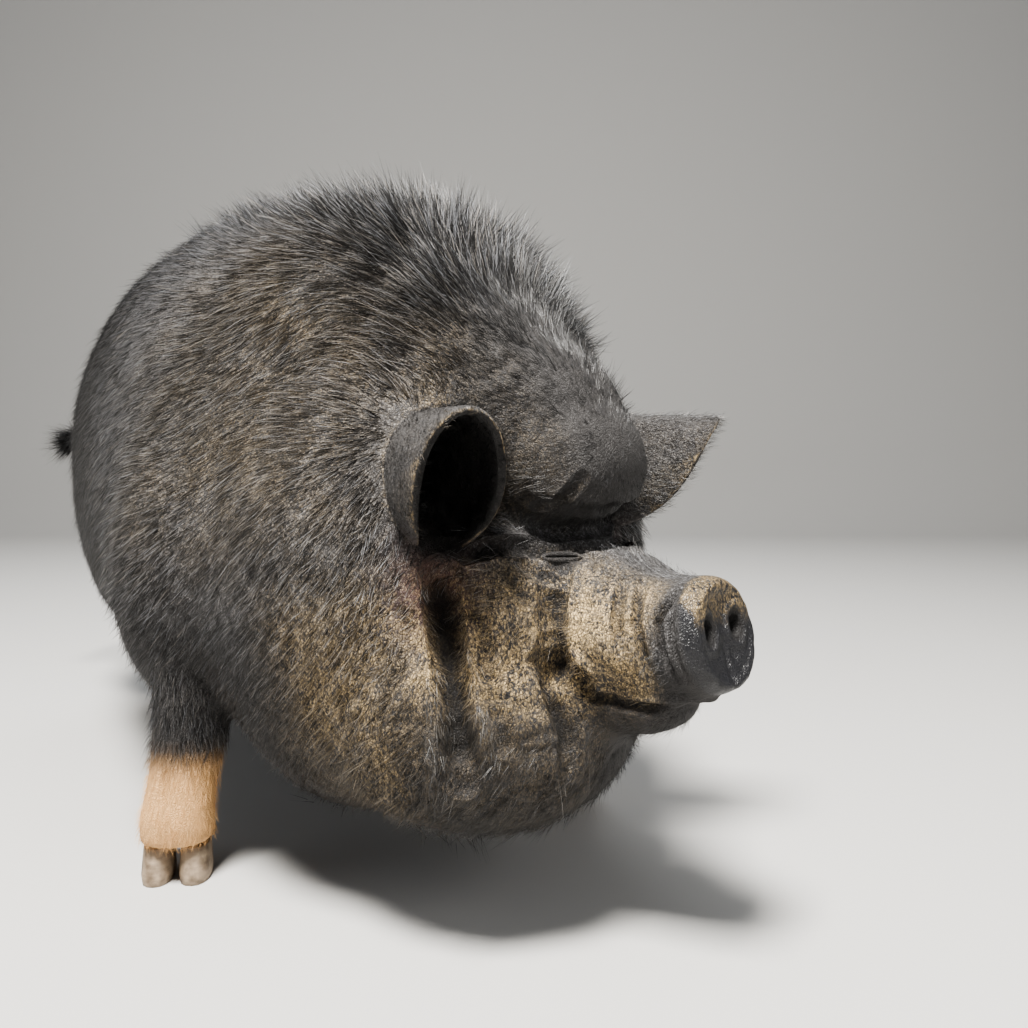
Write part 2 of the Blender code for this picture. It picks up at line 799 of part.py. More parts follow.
def tassel(collection):
    """Locks that fan out of the tail's tip and droop."""
    dice = random.Random(SEED)
    rows = tail_row()
    axis = Vector(rows[-1][:3] - rows[-3][:3]).normalized()
    side = axis.cross(Vector((0, 0, 1))).normalized()
    lift = side.cross(axis)
    for i in range(TASSEL_LOCKS):
        angle = math.tau * i / TASSEL_LOCKS
        out = side * math.cos(angle) + lift * math.sin(angle)
        root = Vector(rows[-2 - i % 3][:3])
        length = TASSEL_LENGTH * dice.uniform(0.8, 1.1)
        line = []
        for t in (0.0, 0.35, 0.7, 1.0):
            droop = Vector((0, 0, -0.35 * length * t * t))
            line.append(root + axis * length * t + out * 0.30 * length * t + droop)
        lock(line, out, 0.010, collection)


def thin(obj, triangles):
    """Fewer triangles, which the folds of the face keep most of."""
    step = obj.modifiers.new("thin", "DECIMATE")
    step.ratio = triangles / (2 * len(obj.data.polygons))
    step.use_collapse_triangulate = True
    bake_modifiers(obj)


def part_tail(rear, collection, cutters):
    """Parts the tail into its root and the end that carries the tassel."""
    point = Vector((TAIL_CUT_X, 0.0, 0.0))
    facing = Vector((-1.0, 0.0, 0.0))
    root = copy_of(rear, "tail_root", collection)
    cut_front(root, point - facing * GAP / 2, facing, cutters)
    end = copy_of(rear, "tail_end", collection)
    cut_front(end, point + facing * GAP / 2, -facing, cutters)
    remove(rear)
    keep_largest(root)
    keep_largest(end)


def look_of(name):
    """Material kind, colour and roughness of a node."""
    if name.startswith("eye_"):
        return "eye", (0.02, 0.014, 0.010), 0.15
    if name.startswith(("claw_", "dewclaw_")):
        return "horn", (0.42, 0.33, 0.24), 0.6
    if name.startswith("leg_"):
        return "leg_skin", (0.40, 0.27, 0.18), 0.8
    if name == "snout_disc":
        return "snout_skin", (0.035, 0.036, 0.042), 0.4
    return "hide", (0.045, 0.040, 0.036), 0.8


def centre_on_floor(collection):
    """Moves every piece alike, so that the origin is the middle of the floor they cover."""
    corners = [v.co for obj in collection.objects for v in obj.data.vertices]
    middle = [(min(c[i] for c in corners) + max(c[i] for c in corners)) / 2 for i in (0, 1)]
    for obj in collection.objects:
        obj.data.transform(Matrix.Translation((-middle[0], -middle[1], 0.0)))


def main():
    clear_scene()
    parts = new_collection("pig")
    cutters = new_collection("cutters")
    core = body_core(parts)
    face_creases(core)
    thin(core, BODY_TRIANGLES)
    tree = BVHTree.FromObject(core, bpy.context.evaluated_depsgraph_get())
    eyes = []
    lids = new_collection("lids")
    for side_name, side in (("right", -1), ("left", 1)):
        frame = eye_frame(side, tree)
        lid_ring(frame, lids)
        eyes.append(eyeball("eye_" + side_name, frame, parts))
    join_collection(core, lids)
    for ball in eyes:
        socket = grown(ball, GAP, cutters)
        boolean(core, socket, "DIFFERENCE")
        remove(socket)
    nostrils = new_collection("nostrils")
    for side in (-1, 1):
        plug = nostril(side, nostrils)
        boolean(core, plug, "DIFFERENCE")
        remove(plug)
    ears = [ear(name, parts) for name in ("right", "left")]
    front = (
        (0.200, 0.046, 0.050, 0.004, 0.024),
        (0.150, 0.034, 0.037, 0.003, 0.018),
        (0.105, 0.0275, 0.030, 0.001, 0.010),
        (0.070, 0.0260, 0.028, -0.001, 0.004),
        (0.048, 0.0280, 0.029, -0.002, 0.0),
        (CORONET_HEIGHT + GAP, 0.0270, 0.0245, -0.003, 0.0),
    )
    hind = (
        (0.300, 0.060, 0.075, 0.000, 0.0),
        (0.220, 0.050, 0.060, 0.012, 0.0),
        (0.150, 0.032, 0.040, 0.034, 0.0),
        (0.115, 0.026, 0.034, 0.040, 0.0),
        (0.070, 0.0245, 0.028, 0.018, 0.0),
        (0.046, 0.0275, 0.029, 0.004, 0.0),
        (CORONET_HEIGHT + GAP, 0.0270, 0.0245, -0.003, 0.0),
    )
    feet = {
        "front_right": (FRONT_FOOT_RIGHT, -TOE_OUT, front),
        "front_left": (FRONT_FOOT_LEFT, TOE_OUT, front),
        "hind_right": ((-HIND_FOOT[0], HIND_FOOT[1]), -TOE_OUT / 2, hind),
        "hind_left": (HIND_FOOT, TOE_OUT / 2, hind),
    }
    legs = []
    for name, (foot, turn, stations) in feet.items():
        column = leg("leg_" + name, foot, turn, stations, parts)
        legs.append(column)
        for side, word in ((-1, "first"), (1, "second")):
            claw(f"claw_{name}_{word}", foot, turn, side, parts)
            spur = dewclaw(f"dewclaw_{name}_{word}", foot, turn, side, parts)
            room = grown(column, GAP, cutters)
            boolean(spur, room, "DIFFERENCE")
            remove(room)
            keep_largest(spur)
    rear = tail(parts)
    room = grown(core, GAP, cutters)
    for piece in legs + ears + [rear]:
        boolean(piece, room, "DIFFERENCE")
        keep_largest(piece)
    remove(room)

    head_cut = (on_head(0, HEAD_CUT_FORWARD, 0), head_direction(0, 1, 0))
    disc_cut = (on_head(0, DISC_FORWARD - SNOUT_DISC_DEPTH, -DISC_DROP), head_direction(0, 1, DISC_LEAN))
    locks = new_collection("locks")
    bristles(core, legs + ears + eyes + [rear], (NECK_CUT, head_cut), locks)
    join_collection(core, locks)
    tassel(locks)
    join_collection(rear, locks)
    bands = {
        "torso": (None, NECK_CUT),
        "neck": (NECK_CUT, head_cut),
        "head": (head_cut, disc_cut),
        "snout_disc": (disc_cut, None),
    }
    for name, (behind, ahead) in bands.items():
        piece = copy_of(core, name, parts)
        if ahead:
            point, facing = ahead
            cut_front(piece, point - facing.normalized() * GAP / 2, facing, cutters)
        if behind:
            point, facing = behind
            cut_front(piece, point + facing.normalized() * GAP / 2, -facing, cutters)
        keep_largest(piece)
    remove(core)
    part_tail(rear, parts, cutters)
    for piece in parts.objects:
        kind, colour, roughness = look_of(piece.name)
        piece.data.materials.clear()
        piece.data.materials.append(make_material(kind + "_" + piece.name, colour, roughness))
    centre_on_floor(parts)


main()
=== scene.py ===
"""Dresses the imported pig: one skin with folds, lids and wrinkles, a bristly coat and crest of
solid tufts, wet eyes and dull hooves, on a plain pale floor in soft studio light.

Metres, +Z up. The pig faces -Y and its left is +X. Its shape is modelled with the shoulders at
the middle and then moved by PLACE, which puts it over the frame's hooves.
"""

import json
import math
import random

import bmesh
import bpy
import numpy as np
from mathutils import Matrix, Vector
from mathutils.bvhtree import BVHTree
from mathutils.kdtree import KDTree
from mathutils.noise import fractal, noise

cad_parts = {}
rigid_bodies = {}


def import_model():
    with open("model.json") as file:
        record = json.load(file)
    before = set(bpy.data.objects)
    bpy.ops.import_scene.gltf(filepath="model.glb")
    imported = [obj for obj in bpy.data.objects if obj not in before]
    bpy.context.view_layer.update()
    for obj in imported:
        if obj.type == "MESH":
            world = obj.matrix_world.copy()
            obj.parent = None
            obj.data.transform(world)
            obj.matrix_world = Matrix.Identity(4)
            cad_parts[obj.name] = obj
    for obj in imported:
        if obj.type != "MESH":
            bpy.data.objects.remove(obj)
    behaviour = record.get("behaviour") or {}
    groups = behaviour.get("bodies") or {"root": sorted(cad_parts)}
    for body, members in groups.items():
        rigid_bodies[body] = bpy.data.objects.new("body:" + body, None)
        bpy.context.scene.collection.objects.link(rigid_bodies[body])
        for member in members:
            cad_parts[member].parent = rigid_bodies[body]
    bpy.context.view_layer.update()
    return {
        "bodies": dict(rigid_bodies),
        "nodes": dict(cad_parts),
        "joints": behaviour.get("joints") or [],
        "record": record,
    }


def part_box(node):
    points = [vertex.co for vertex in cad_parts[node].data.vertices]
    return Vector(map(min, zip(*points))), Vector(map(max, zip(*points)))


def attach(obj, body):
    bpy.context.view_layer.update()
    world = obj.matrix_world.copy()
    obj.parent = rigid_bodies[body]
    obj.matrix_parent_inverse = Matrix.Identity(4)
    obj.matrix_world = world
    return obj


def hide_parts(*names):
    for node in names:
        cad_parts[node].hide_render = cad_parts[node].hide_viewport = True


bl_info = {
    "name": "Pot-bellied pig",
    "version": (1, 0, 0),
    "blender": (4, 5, 0),
    "location": "View3D > Sidebar > Pig",
    "description": "Skin, bristles, eyes and hooves of a very fat black pot-bellied pig",
    "category": "Object",
}

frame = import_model()
FLESH = [name for name in frame["nodes"] if not name.startswith(("eye_", "claw_", "dewclaw_"))]

# Body
BACK_HEIGHT = 0.560
BELLY_CLEARANCE = 0.062
BODY_HALF_WIDTH = 0.223
RUMP_Y = 0.594
HIP_HALF_WIDTH = 0.184

# Head: its own axes are left, forward and up from the middle of the line between the ears
EAR_LINE = Vector((0.024, -0.2745, 0.300))
HEAD_TURN = math.radians(17.0)
DISC_FORWARD = 0.186
DISC_DROP = 0.083
DISC_HALF_WIDTH = 0.0365
DISC_HALF_HEIGHT = 0.0365
DISC_LEAN = 0.24
NOSTRIL_PLACE = (0.0150, -0.078)
NOSTRIL_HALF_WIDTH = 0.0062
NOSTRIL_HALF_HEIGHT = 0.0085

# Ears: a hood over the ear hole that points forward and outward, the left one further out
EAR_ROOT = (0.066, -0.010)
EAR_LENGTH = 0.130
EAR_OUTWARD = {"right": math.radians(31), "left": math.radians(38)}
EAR_TOP = 0.057
EAR_TOP_FALL = 0.004
EAR_HALF_WIDTH = 0.034
EAR_HALF_HEIGHT = 0.052
EAR_THICKNESS = 0.0058

# Eyes: squeezed into a slit between fat lids
EYE_PLACE = (0.041, 0.090, -0.036)
EYE_RADIUS = 0.0056
LID_HALF_LENGTH = 0.0120
LID_HALF_OPENING = 0.0022
LID_RADIUS = 0.0024

# Legs: where each foot stands and how far its toes turn out
FRONT_FOOT_RIGHT = (-0.182, -0.125)
FRONT_FOOT_LEFT = (0.172, -0.122)
HIND_FOOT = (0.088, 0.380)
CORONET_HEIGHT = 0.027
TOE_OUT = math.radians(24)
CLAW_LENGTH = 0.040
CLAW_WIDTH = 0.024
CLEFT = 0.004

# Tail, swung round the rump to the pig's right
TAIL_ROOT_RADIUS = 0.013
TAIL_TIP_RADIUS = 0.006

# Resolution
BODY_VOXEL = 0.012
HEAD_VOXEL = 0.006
BODY_SMOOTHING = 14
HEAD_SMOOTHING = 8
RING_POINTS = 32


def object_from_bmesh(name, bm, collection):
    bmesh.ops.recalc_face_normals(bm, faces=bm.faces)
    mesh = bpy.data.meshes.new(name)
    bm.to_mesh(mesh)
    bm.free()
    obj = bpy.data.objects.new(name, mesh)
    collection.objects.link(obj)
    return obj


def bake_modifiers(obj):
    """Replaces the object's mesh by what its modifiers give."""
    bpy.context.view_layer.update()
    depsgraph = bpy.context.evaluated_depsgraph_get()
    mesh = bpy.data.meshes.new_from_object(obj.evaluated_get(depsgraph))
    obj.modifiers.clear()
    obj.data = mesh


def remove(*objects):
    for obj in objects:
        bpy.data.objects.remove(obj, do_unlink=True)


def boolean(obj, other, operation):
    """Joins or cuts obj by another closed object and leaves that object in place."""
    step = obj.modifiers.new(operation.lower(), "BOOLEAN")
    step.operation = operation
    step.solver = "MANIFOLD"
    step.object = other
    bake_modifiers(obj)


def join_collection(obj, collection):
    """One union of obj with every closed mesh of a collection, which is then emptied."""
    step = obj.modifiers.new("join", "BOOLEAN")
    step.operation = "UNION"
    step.solver = "MANIFOLD"
    step.operand_type = "COLLECTION"
    step.collection = collection
    bake_modifiers(obj)
    remove(*collection.objects)


def head_axes():
    left = Vector((math.cos(HEAD_TURN), math.sin(HEAD_TURN), 0.0))
    forward = Vector((math.sin(HEAD_TURN), -math.cos(HEAD_TURN), 0.0))
    return left, forward, Vector((0.0, 0.0, 1.0))


def head_direction(left, forward, up):
    x, y, z = head_axes()
    return x * left + y * forward + z * up


def on_head(left, forward, up):
    """A point of the head's own axes, in the pig's."""
    return EAR_LINE + head_direction(left, forward, up)


def mass(collection, centre, radii, turn=0.0):
    """An egg of fat or bone: centre, half sizes and its turn about Z."""
    bm = bmesh.new()
    bmesh.ops.create_uvsphere(bm, u_segments=32, v_segments=18, radius=1.0)
    place = (
        Matrix.Translation(centre)
        @ Matrix.Rotation(turn, 4, "Z")
        @ Matrix.Diagonal((*radii, 1.0))
    )
    bmesh.ops.transform(bm, matrix=place, verts=bm.verts)
    return object_from_bmesh("mass", bm, collection)


def head_mass(collection, place, radii):
    return mass(collection, on_head(*place), radii, HEAD_TURN)


def ring(centre, side, lift, half_width, rise, drop, power=2.2):
    """Points round a rounded section, with its own height above and below the centre."""
    points = []
    for step in range(RING_POINTS):
        angle = math.tau * step / RING_POINTS
        c, s = math.cos(angle), math.sin(angle)
        across = math.copysign(abs(c) ** (2 / power), c) * half_width
        along = math.copysign(abs(s) ** (2 / power), s) * (rise if s > 0 else drop)
        points.append(centre + side * across + lift * along)
    return points


def loft(name, collection, rings):
    """Skins a row of rings with equal counts and closes both ends."""
    bm = bmesh.new()
    rows = [[bm.verts.new(point) for point in points] for points in rings]
    count = len(rows[0])
    for low, high in zip(rows, rows[1:]):
        for i in range(count):
            j = (i + 1) % count
            bm.faces.new((low[i], low[j], high[j], high[i]))
    bm.faces.new(rows[0])
    bm.faces.new(rows[-1])
    return object_from_bmesh(name, bm, collection)


def smooth_row(keys, count):
    """Rows between the key rows, eased so that the sizes run on without kinks."""
    keys = np.array(keys, dtype=float)
    rows = []
    for place in np.linspace(0, len(keys) - 1, count):
        i = min(int(place), len(keys) - 2)
        t = place - i
        a, b = keys[i], keys[i + 1]
        before = keys[max(i - 1, 0)]
        after = keys[min(i + 2, len(keys) - 1)]
        bend = (2 * before - 5 * a + 4 * b - after) * t**2
        twist = (3 * a - before - 3 * b + after) * t**3
        rows.append(0.5 * (2 * a + (b - before) * t + bend + twist))
    return rows


def barrel(collection):
    """Chest, barrel and rump as one loft along Y: y, half width, top, bottom."""
    stations = smooth_row(
        [
            (-0.235, 0.105, 0.400, 0.160),
            (-0.190, 0.165, 0.470, 0.110),
            (-0.100, 0.205, 0.532, BELLY_CLEARANCE + 0.010),
            (0.000, BODY_HALF_WIDTH, BACK_HEIGHT, BELLY_CLEARANCE),
            (0.140, BODY_HALF_WIDTH, BACK_HEIGHT + 0.008, BELLY_CLEARANCE),
            (0.290, 0.213, BACK_HEIGHT - 0.005, BELLY_CLEARANCE + 0.012),
            (0.420, HIP_HALF_WIDTH, BACK_HEIGHT - 0.030, 0.115),
            (0.510, 0.160, BACK_HEIGHT - 0.075, 0.180),
            (0.565, 0.105, BACK_HEIGHT - 0.130, 0.245),
            (RUMP_Y, 0.035, BACK_HEIGHT - 0.205, 0.320),
        ],
        40,
    )
    rings = []
    for y, half, top, bottom in stations:
        middle = bottom + (top - bottom) * 0.47
        centre = Vector((0.0, y, middle))
        side, lift = Vector((1, 0, 0)), Vector((0, 0, 1))
        rings.append(ring(centre, side, lift, half, top - middle, middle - bottom))
    return loft("barrel", collection, rings)


def neck_masses(collection):
    """Crest, the two thick rolls beside the neck, and the hanging brisket."""
    mass(collection, (0.003, -0.110, 0.400), (0.160, 0.160, 0.140))
    mass(collection, (0.020, -0.195, 0.365), (0.130, 0.125, 0.120))
    mass(collection, (-0.050, -0.192, 0.228), (0.126, 0.148, 0.180))
    mass(collection, (0.116, -0.136, 0.236), (0.113, 0.132, 0.176))
    mass(collection, (0.000, -0.280, 0.143), (0.122, 0.120, 0.090))


def haunch_masses(collection):
    """Shoulders that swell over the forelegs and the hams behind."""
    for side in (-1, 1):
        mass(collection, (side * 0.154, -0.090, 0.240), (0.078, 0.098, 0.132))
        mass(collection, (side * 0.120, 0.420, 0.255), (0.075, 0.110, 0.160))


def head_loft(name, collection, stations, count):
    """A loft along the head: forward, half width, top, bottom and lean of each station."""
    left, forward, up = head_axes()
    rings = []
    for along, half, top, bottom, lean in smooth_row(stations, count):
        middle = (top + bottom) / 2
        centre = on_head(0, along, middle)
        lift = up - forward * lean
        rings.append(ring(centre, left, lift, half, top - middle, middle - bottom))
    return loft(name, collection, rings)


def head_masses(collection):
    """Dome, brow roll, cheeks, jowls, muzzle and jaw, in the head's own axes."""
    head_mass(collection, (0, -0.020, 0.052), (0.088, 0.090, 0.096))
    head_mass(collection, (0, 0.022, 0.040), (0.078, 0.074, 0.074))
    head_mass(collection, (0, 0.052, 0.024), (0.066, 0.062, 0.050))
    for side in (-1, 1):
        head_mass(collection, (side * 0.044, 0.030, -0.085), (0.048, 0.066, 0.074))
        head_mass(collection, (side * 0.034, 0.052, -0.062), (0.040, 0.050, 0.034))
        head_mass(collection, (side * 0.043, 0.014, -0.156), (0.058, 0.074, 0.077))
    disc_top = DISC_HALF_HEIGHT - DISC_DROP
    disc_bottom = -DISC_HALF_HEIGHT - DISC_DROP
    head_loft(
        "muzzle",
        collection,
        [
            (0.030, 0.076, -0.018, -0.140, 0.0),
            (0.085, 0.060, -0.028, -0.136, 0.0),
            (0.114, 0.056, -0.034, -0.134, 0.0),
            (0.136, 0.049, -0.042, -0.130, DISC_LEAN * 0.5),
            (0.154, 0.041, disc_top - 0.001, disc_bottom - 0.003, DISC_LEAN),
            (0.170, 0.0375, disc_top - 0.002, disc_bottom - 0.001, DISC_LEAN),
            (DISC_FORWARD - 0.004, DISC_HALF_WIDTH, disc_top + 0.001, disc_bottom, DISC_LEAN),
            (DISC_FORWARD, DISC_HALF_WIDTH - 0.003, disc_top - 0.002, disc_bottom + 0.003, DISC_LEAN),
        ],
        25,
    )
    head_loft(
        "jaw",
        collection,
        [
            (0.020, 0.060, -0.100, -0.190, 0.0),
            (0.080, 0.048, -0.100, -0.172, 0.0),
            (0.125, 0.040, -0.100, -0.158, 0.1),
            (0.155, 0.031, -0.104, -0.148, 0.2),
            (0.176, 0.015, -0.112, -0.139, 0.2),
        ],
        14,
    )


def join_objects(name, collection):
    """All the meshes of a collection in one mesh, still overlapping."""
    bm = bmesh.new()
    for obj in list(collection.objects):
        bm.from_mesh(obj.data)
        remove(obj)
    mesh = bpy.data.meshes.new(name)
    bm.to_mesh(mesh)
    bm.free()
    obj = bpy.data.objects.new(name, mesh)
    collection.objects.link(obj)
    return obj


def melt(obj, voxel, steps):
    """Fuses overlapping forms into one skin and relaxes it."""
    remesh = obj.modifiers.new("fuse", "REMESH")
    remesh.mode = "VOXEL"
    remesh.voxel_size = voxel
    relax = obj.modifiers.new("relax", "SMOOTH")
    relax.factor = 0.5
    relax.iterations = steps
    bake_modifiers(obj)


def nearest_on(tree, points):
    """Each point moved to the surface, so that a crease keeps to the skin."""
    return [tree.find_nearest(point)[0] for point in points]


def distance_to_path(places, path):
    """How far each place lies from a line through the path's points."""
    best = np.full(len(places), np.inf)
    for start, end in zip(path, path[1:]):
        a, b = np.array(start), np.array(end)
        along = np.clip((places - a) @ (b - a) / max((b - a) @ (b - a), 1e-12), 0, 1)
        best = np.minimum(best, np.linalg.norm(places - (a + along[:, None] * (b - a)), axis=1))
    return best


def eye_frame(side, tree):
    """Centre on the skin and axes of an eye: along the slit, up the lids and outward."""
    a, b, c = EYE_PLACE
    place, normal, *_ = tree.find_nearest(on_head(side * a, b, c))
    outward = head_direction(side * 0.60, 0.70, 0.35).normalized()
    along = outward.cross(Vector((0, 0, 1))).normalized()
    return place, along, along.cross(outward).normalized(), outward


def lid_ring(frame, collection):
    """Both lids of an eye as one fat almond ring round the slit."""
    place, along, up, outward = frame
    bm = bmesh.new()
    around, section = 20, 6
    rows = []
    for i in range(around):
        angle = math.tau * i / around
        out = Vector((math.cos(angle), math.sin(angle), 0.0))
        middle = Vector((out.x * LID_HALF_LENGTH, out.y * LID_HALF_OPENING, 0.0))
        row = []
        for j in range(section):
            turn = math.tau * j / section
            local = middle + out * math.cos(turn) * LID_RADIUS
            rise = math.sin(turn) * LID_RADIUS
            row.append(bm.verts.new(place + along * local.x + up * local.y + outward * rise))
        rows.append(row)
    for i in range(around):
        for j in range(section):
            k, m = (i + 1) % around, (j + 1) % section
            bm.faces.new((rows[i][j], rows[k][j], rows[k][m], rows[i][m]))
    return object_from_bmesh("lids", bm, collection)


def ear(side_name, collection):
    """One ear: an arched hood whose open side slants back from its tip to its root."""
    side = 1 if side_name == "left" else -1
    left, forward, up = head_axes()
    turn = EAR_OUTWARD[side_name]
    axis = left * (side * math.sin(turn)) + forward * math.cos(turn)
    across = axis.cross(up)
    root = on_head(side * EAR_ROOT[0], EAR_ROOT[1], 0.0)
    along_count, round_count = 11, 11
    bm = bmesh.new()
    rows = []
    for i in range(along_count):
        u = i / (along_count - 1)
        reach = math.radians(68 + 92 * (1 - u**2.4) ** 0.70)
        half_width = EAR_HALF_WIDTH * (1 - 0.30 * u**2)
        half_height = EAR_HALF_HEIGHT * (1 - 0.25 * u)
        top = EAR_TOP - EAR_TOP_FALL * u**2
        row = []
        for j in range(round_count):
            angle = reach * (2 * j / (round_count - 1) - 1)
            height = top - half_height * (1 - math.cos(angle))
            pull = EAR_LENGTH * u - 0.018 * (angle / reach) ** 2 * u**2
            row.append(
                bm.verts.new(root + axis * pull + across * half_width * math.sin(angle) + up * height)
            )
        rows.append(row)
    for low, high in zip(rows, rows[1:]):
        for j in range(round_count - 1):
            bm.faces.new((low[j], low[j + 1], high[j + 1], high[j]))
    hood = object_from_bmesh("ear_" + side_name, bm, collection)
    wall = hood.modifiers.new("thickness", "SOLIDIFY")
    wall.thickness = EAR_THICKNESS
    wall.offset = 0.0
    bake_modifiers(hood)
    return hood


def leg(name, foot, turn, stations, collection):
    """One leg as a column of sections: height, half width, half depth, shifts back and inward."""
    side = Vector((math.cos(turn), math.sin(turn), 0.0))
    back = Vector((-math.sin(turn), math.cos(turn), 0.0))
    rings = []
    for height, half_width, half_depth, shift, inward in smooth_row(stations, 12):
        across = foot[0] - math.copysign(inward, foot[0])
        centre = Vector((across, foot[1], height)) + back * shift
        rings.append(ring(centre, side, back, half_width, half_depth, half_depth, 2.4)[::2])
    return loft(name, collection, rings)


def claw(name, foot, turn, side, collection):
    """One claw of a cloven foot: a flat-soled wedge that narrows up to the coronet."""
    across = Vector((math.cos(turn), math.sin(turn), 0.0))
    back = Vector((-math.sin(turn), math.cos(turn), 0.0))
    half = CLAW_WIDTH / 2
    offset = side * (half + CLEFT / 2)
    rings = []
    for height, width, front, rear in (
        (0.0, 0.94, -0.62, 0.40),
        (0.006, 1.0, -0.63, 0.42),
        (0.016, 0.96, -0.54, 0.40),
        (CORONET_HEIGHT, 0.90, -0.44, 0.38),
    ):
        middle = (front + rear) / 2 * CLAW_LENGTH
        reach = (rear - front) / 2 * CLAW_LENGTH
        centre = Vector((foot[0], foot[1], height)) + across * offset + back * middle
        rings.append(ring(centre, across, back, half * width, reach, reach, 2.3)[::2])
    return loft(name, collection, rings)


def dewclaw(name, foot, turn, side, collection):
    """A small claw behind the pastern that hangs clear of the floor."""
    across = Vector((math.cos(turn), math.sin(turn), 0.0))
    back = Vector((-math.sin(turn), math.cos(turn), 0.0))
    root = Vector((foot[0], foot[1], 0.046)) + across * side * 0.013 + back * 0.018
    tip = root + back * 0.022 - Vector((0, 0, 0.030)) + across * side * 0.004
    axis = (tip - root).normalized()
    lift = axis.cross(across).normalized()
    rings = []
    for t, size in ((0.0, 0.0075), (0.45, 0.0078), (0.8, 0.0062), (1.0, 0.0035)):
        rings.append(ring(root.lerp(tip, t), across, lift, size, size * 0.8, size * 0.8)[::4])
    return loft(name, collection, rings)


def tail_row():
    """Stations along the tail, from inside the rump round to the pig's right: x, y, z, radius."""
    keys = [
        (0.000, 0.560, 0.405, TAIL_ROOT_RADIUS),
        (-0.030, 0.604, 0.398, TAIL_ROOT_RADIUS * 0.92),
        (-0.085, 0.612, 0.385, TAIL_ROOT_RADIUS * 0.80),
        (-0.136, 0.592, 0.365, TAIL_ROOT_RADIUS * 0.68),
        (-0.164, 0.560, 0.348, TAIL_ROOT_RADIUS * 0.58),
        (-0.180, 0.530, 0.336, TAIL_TIP_RADIUS),
    ]
    return smooth_row(keys, 16)


def tail(collection):
    rows = tail_row()
    rings = []
    for i, (x, y, z, radius) in enumerate(rows):
        before, after = rows[max(i - 1, 0)], rows[min(i + 1, len(rows) - 1)]
        axis = Vector(after[:3] - before[:3]).normalized()
        side = axis.cross(Vector((0, 0, 1))).normalized()
        lift = side.cross(axis)
        rings.append(ring(Vector((x, y, z)), side, lift, radius, radius, radius, 2.0)[::4])
    return loft("tail", collection, rings)


def nostril(side, collection):
    """A closed oval plug that opens one nostril in the disc."""
    left, _, up = head_axes()
    rings = []
    rise = NOSTRIL_PLACE[1] + DISC_DROP
    for along, size in ((0.006, 1.0), (-0.002, 0.95), (-0.009, 0.55)):
        ahead = DISC_FORWARD + along - rise * DISC_LEAN
        centre = on_head(side * NOSTRIL_PLACE[0], ahead, NOSTRIL_PLACE[1])
        rings.append(
            ring(
                centre,
                left,
                up,
                NOSTRIL_HALF_WIDTH * size,
                NOSTRIL_HALF_HEIGHT * size,
                NOSTRIL_HALF_HEIGHT * size,
                2.0,
            )[::3]
        )
    return loft("nostril", collection, rings)


def keep_largest(obj):
    """Keeps the largest closed surface of a node and drops loose scraps."""
    bm = bmesh.new()
    bm.from_mesh(obj.data)
    unseen = set(bm.faces)
    best = set()
    while unseen:
        island = {unseen.pop()}
        front = list(island)
        while front:
            face = front.pop()
            for edge in face.edges:
                for near in edge.link_faces:
                    if near in unseen:
                        unseen.discard(near)
                        island.add(near)
                        front.append(near)
        if sum(f.calc_area() for f in island) > sum(f.calc_area() for f in best):
            best = island
    bmesh.ops.delete(bm, geom=[f for f in bm.faces if f not in best], context="FACES")
    bmesh.ops.triangulate(bm, faces=bm.faces)
    bm.to_mesh(obj.data)
    bm.free()


def ease(values, low, high):
    """0 below low, 1 above high and a smooth step between them."""
    t = np.clip((values - low) / (high - low), 0.0, 1.0)
    return t * t * (3.0 - 2.0 * t)


def unit(vectors):
    return vectors / np.maximum(np.linalg.norm(vectors, axis=1, keepdims=True), 1e-9)


def vertex_places(mesh):
    places = np.empty(len(mesh.vertices) * 3)
    mesh.vertices.foreach_get("co", places)
    return places.reshape(-1, 3)


def vertex_normals(mesh):
    normals = np.empty(len(mesh.vertices) * 3, dtype=np.float32)
    mesh.vertex_normals.foreach_get("vector", normals)
    return normals.reshape(-1, 3).astype(float)


def surface_tree(obj):
    bpy.context.view_layer.update()
    return BVHTree.FromObject(obj, bpy.context.evaluated_depsgraph_get())


def move_vertices(mesh, places):
    mesh.vertices.foreach_set("co", places.ravel())
    mesh.update()


def in_head_axes(places):
    """Left, forward and up of each place from the middle of the line between the ears."""
    x, y, z = head_axes()
    away = places - np.array(EAR_LINE)
    return away @ np.array(x), away @ np.array(y), away @ np.array(z)


def settings():
    return bpy.context.scene.pig_body, bpy.context.scene.pig_coat, bpy.context.scene.pig_stage


def finish_piece(obj, material, nodes=()):
    """Gives a finished piece its material and slot and hangs it on the frame."""
    obj.data.materials.clear()
    obj.data.materials.append(material)
    if nodes:
        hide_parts(*nodes)
    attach(obj, "root")


def round_off(obj, levels):
    """Subdivides a coarse closed form into a smooth one."""
    step = obj.modifiers.new("round", "SUBSURF")
    step.levels = levels
    step.render_levels = levels
    bake_modifiers(obj)


def fine_body(collection, voxel):
    """The whole body as one fine skin, without ears, legs and tail."""
    barrel(collection)
    neck_masses(collection)
    haunch_masses(collection)
    trunk = join_objects("trunk", collection)
    melt(trunk, BODY_VOXEL, BODY_SMOOTHING)
    round_off(trunk, 1)
    head_masses(collection)
    core = join_objects("skin", collection)
    melt(core, voxel, round(HEAD_SMOOTHING * (HEAD_VOXEL / voxel) ** 2))
    refine_head(core)
    return core


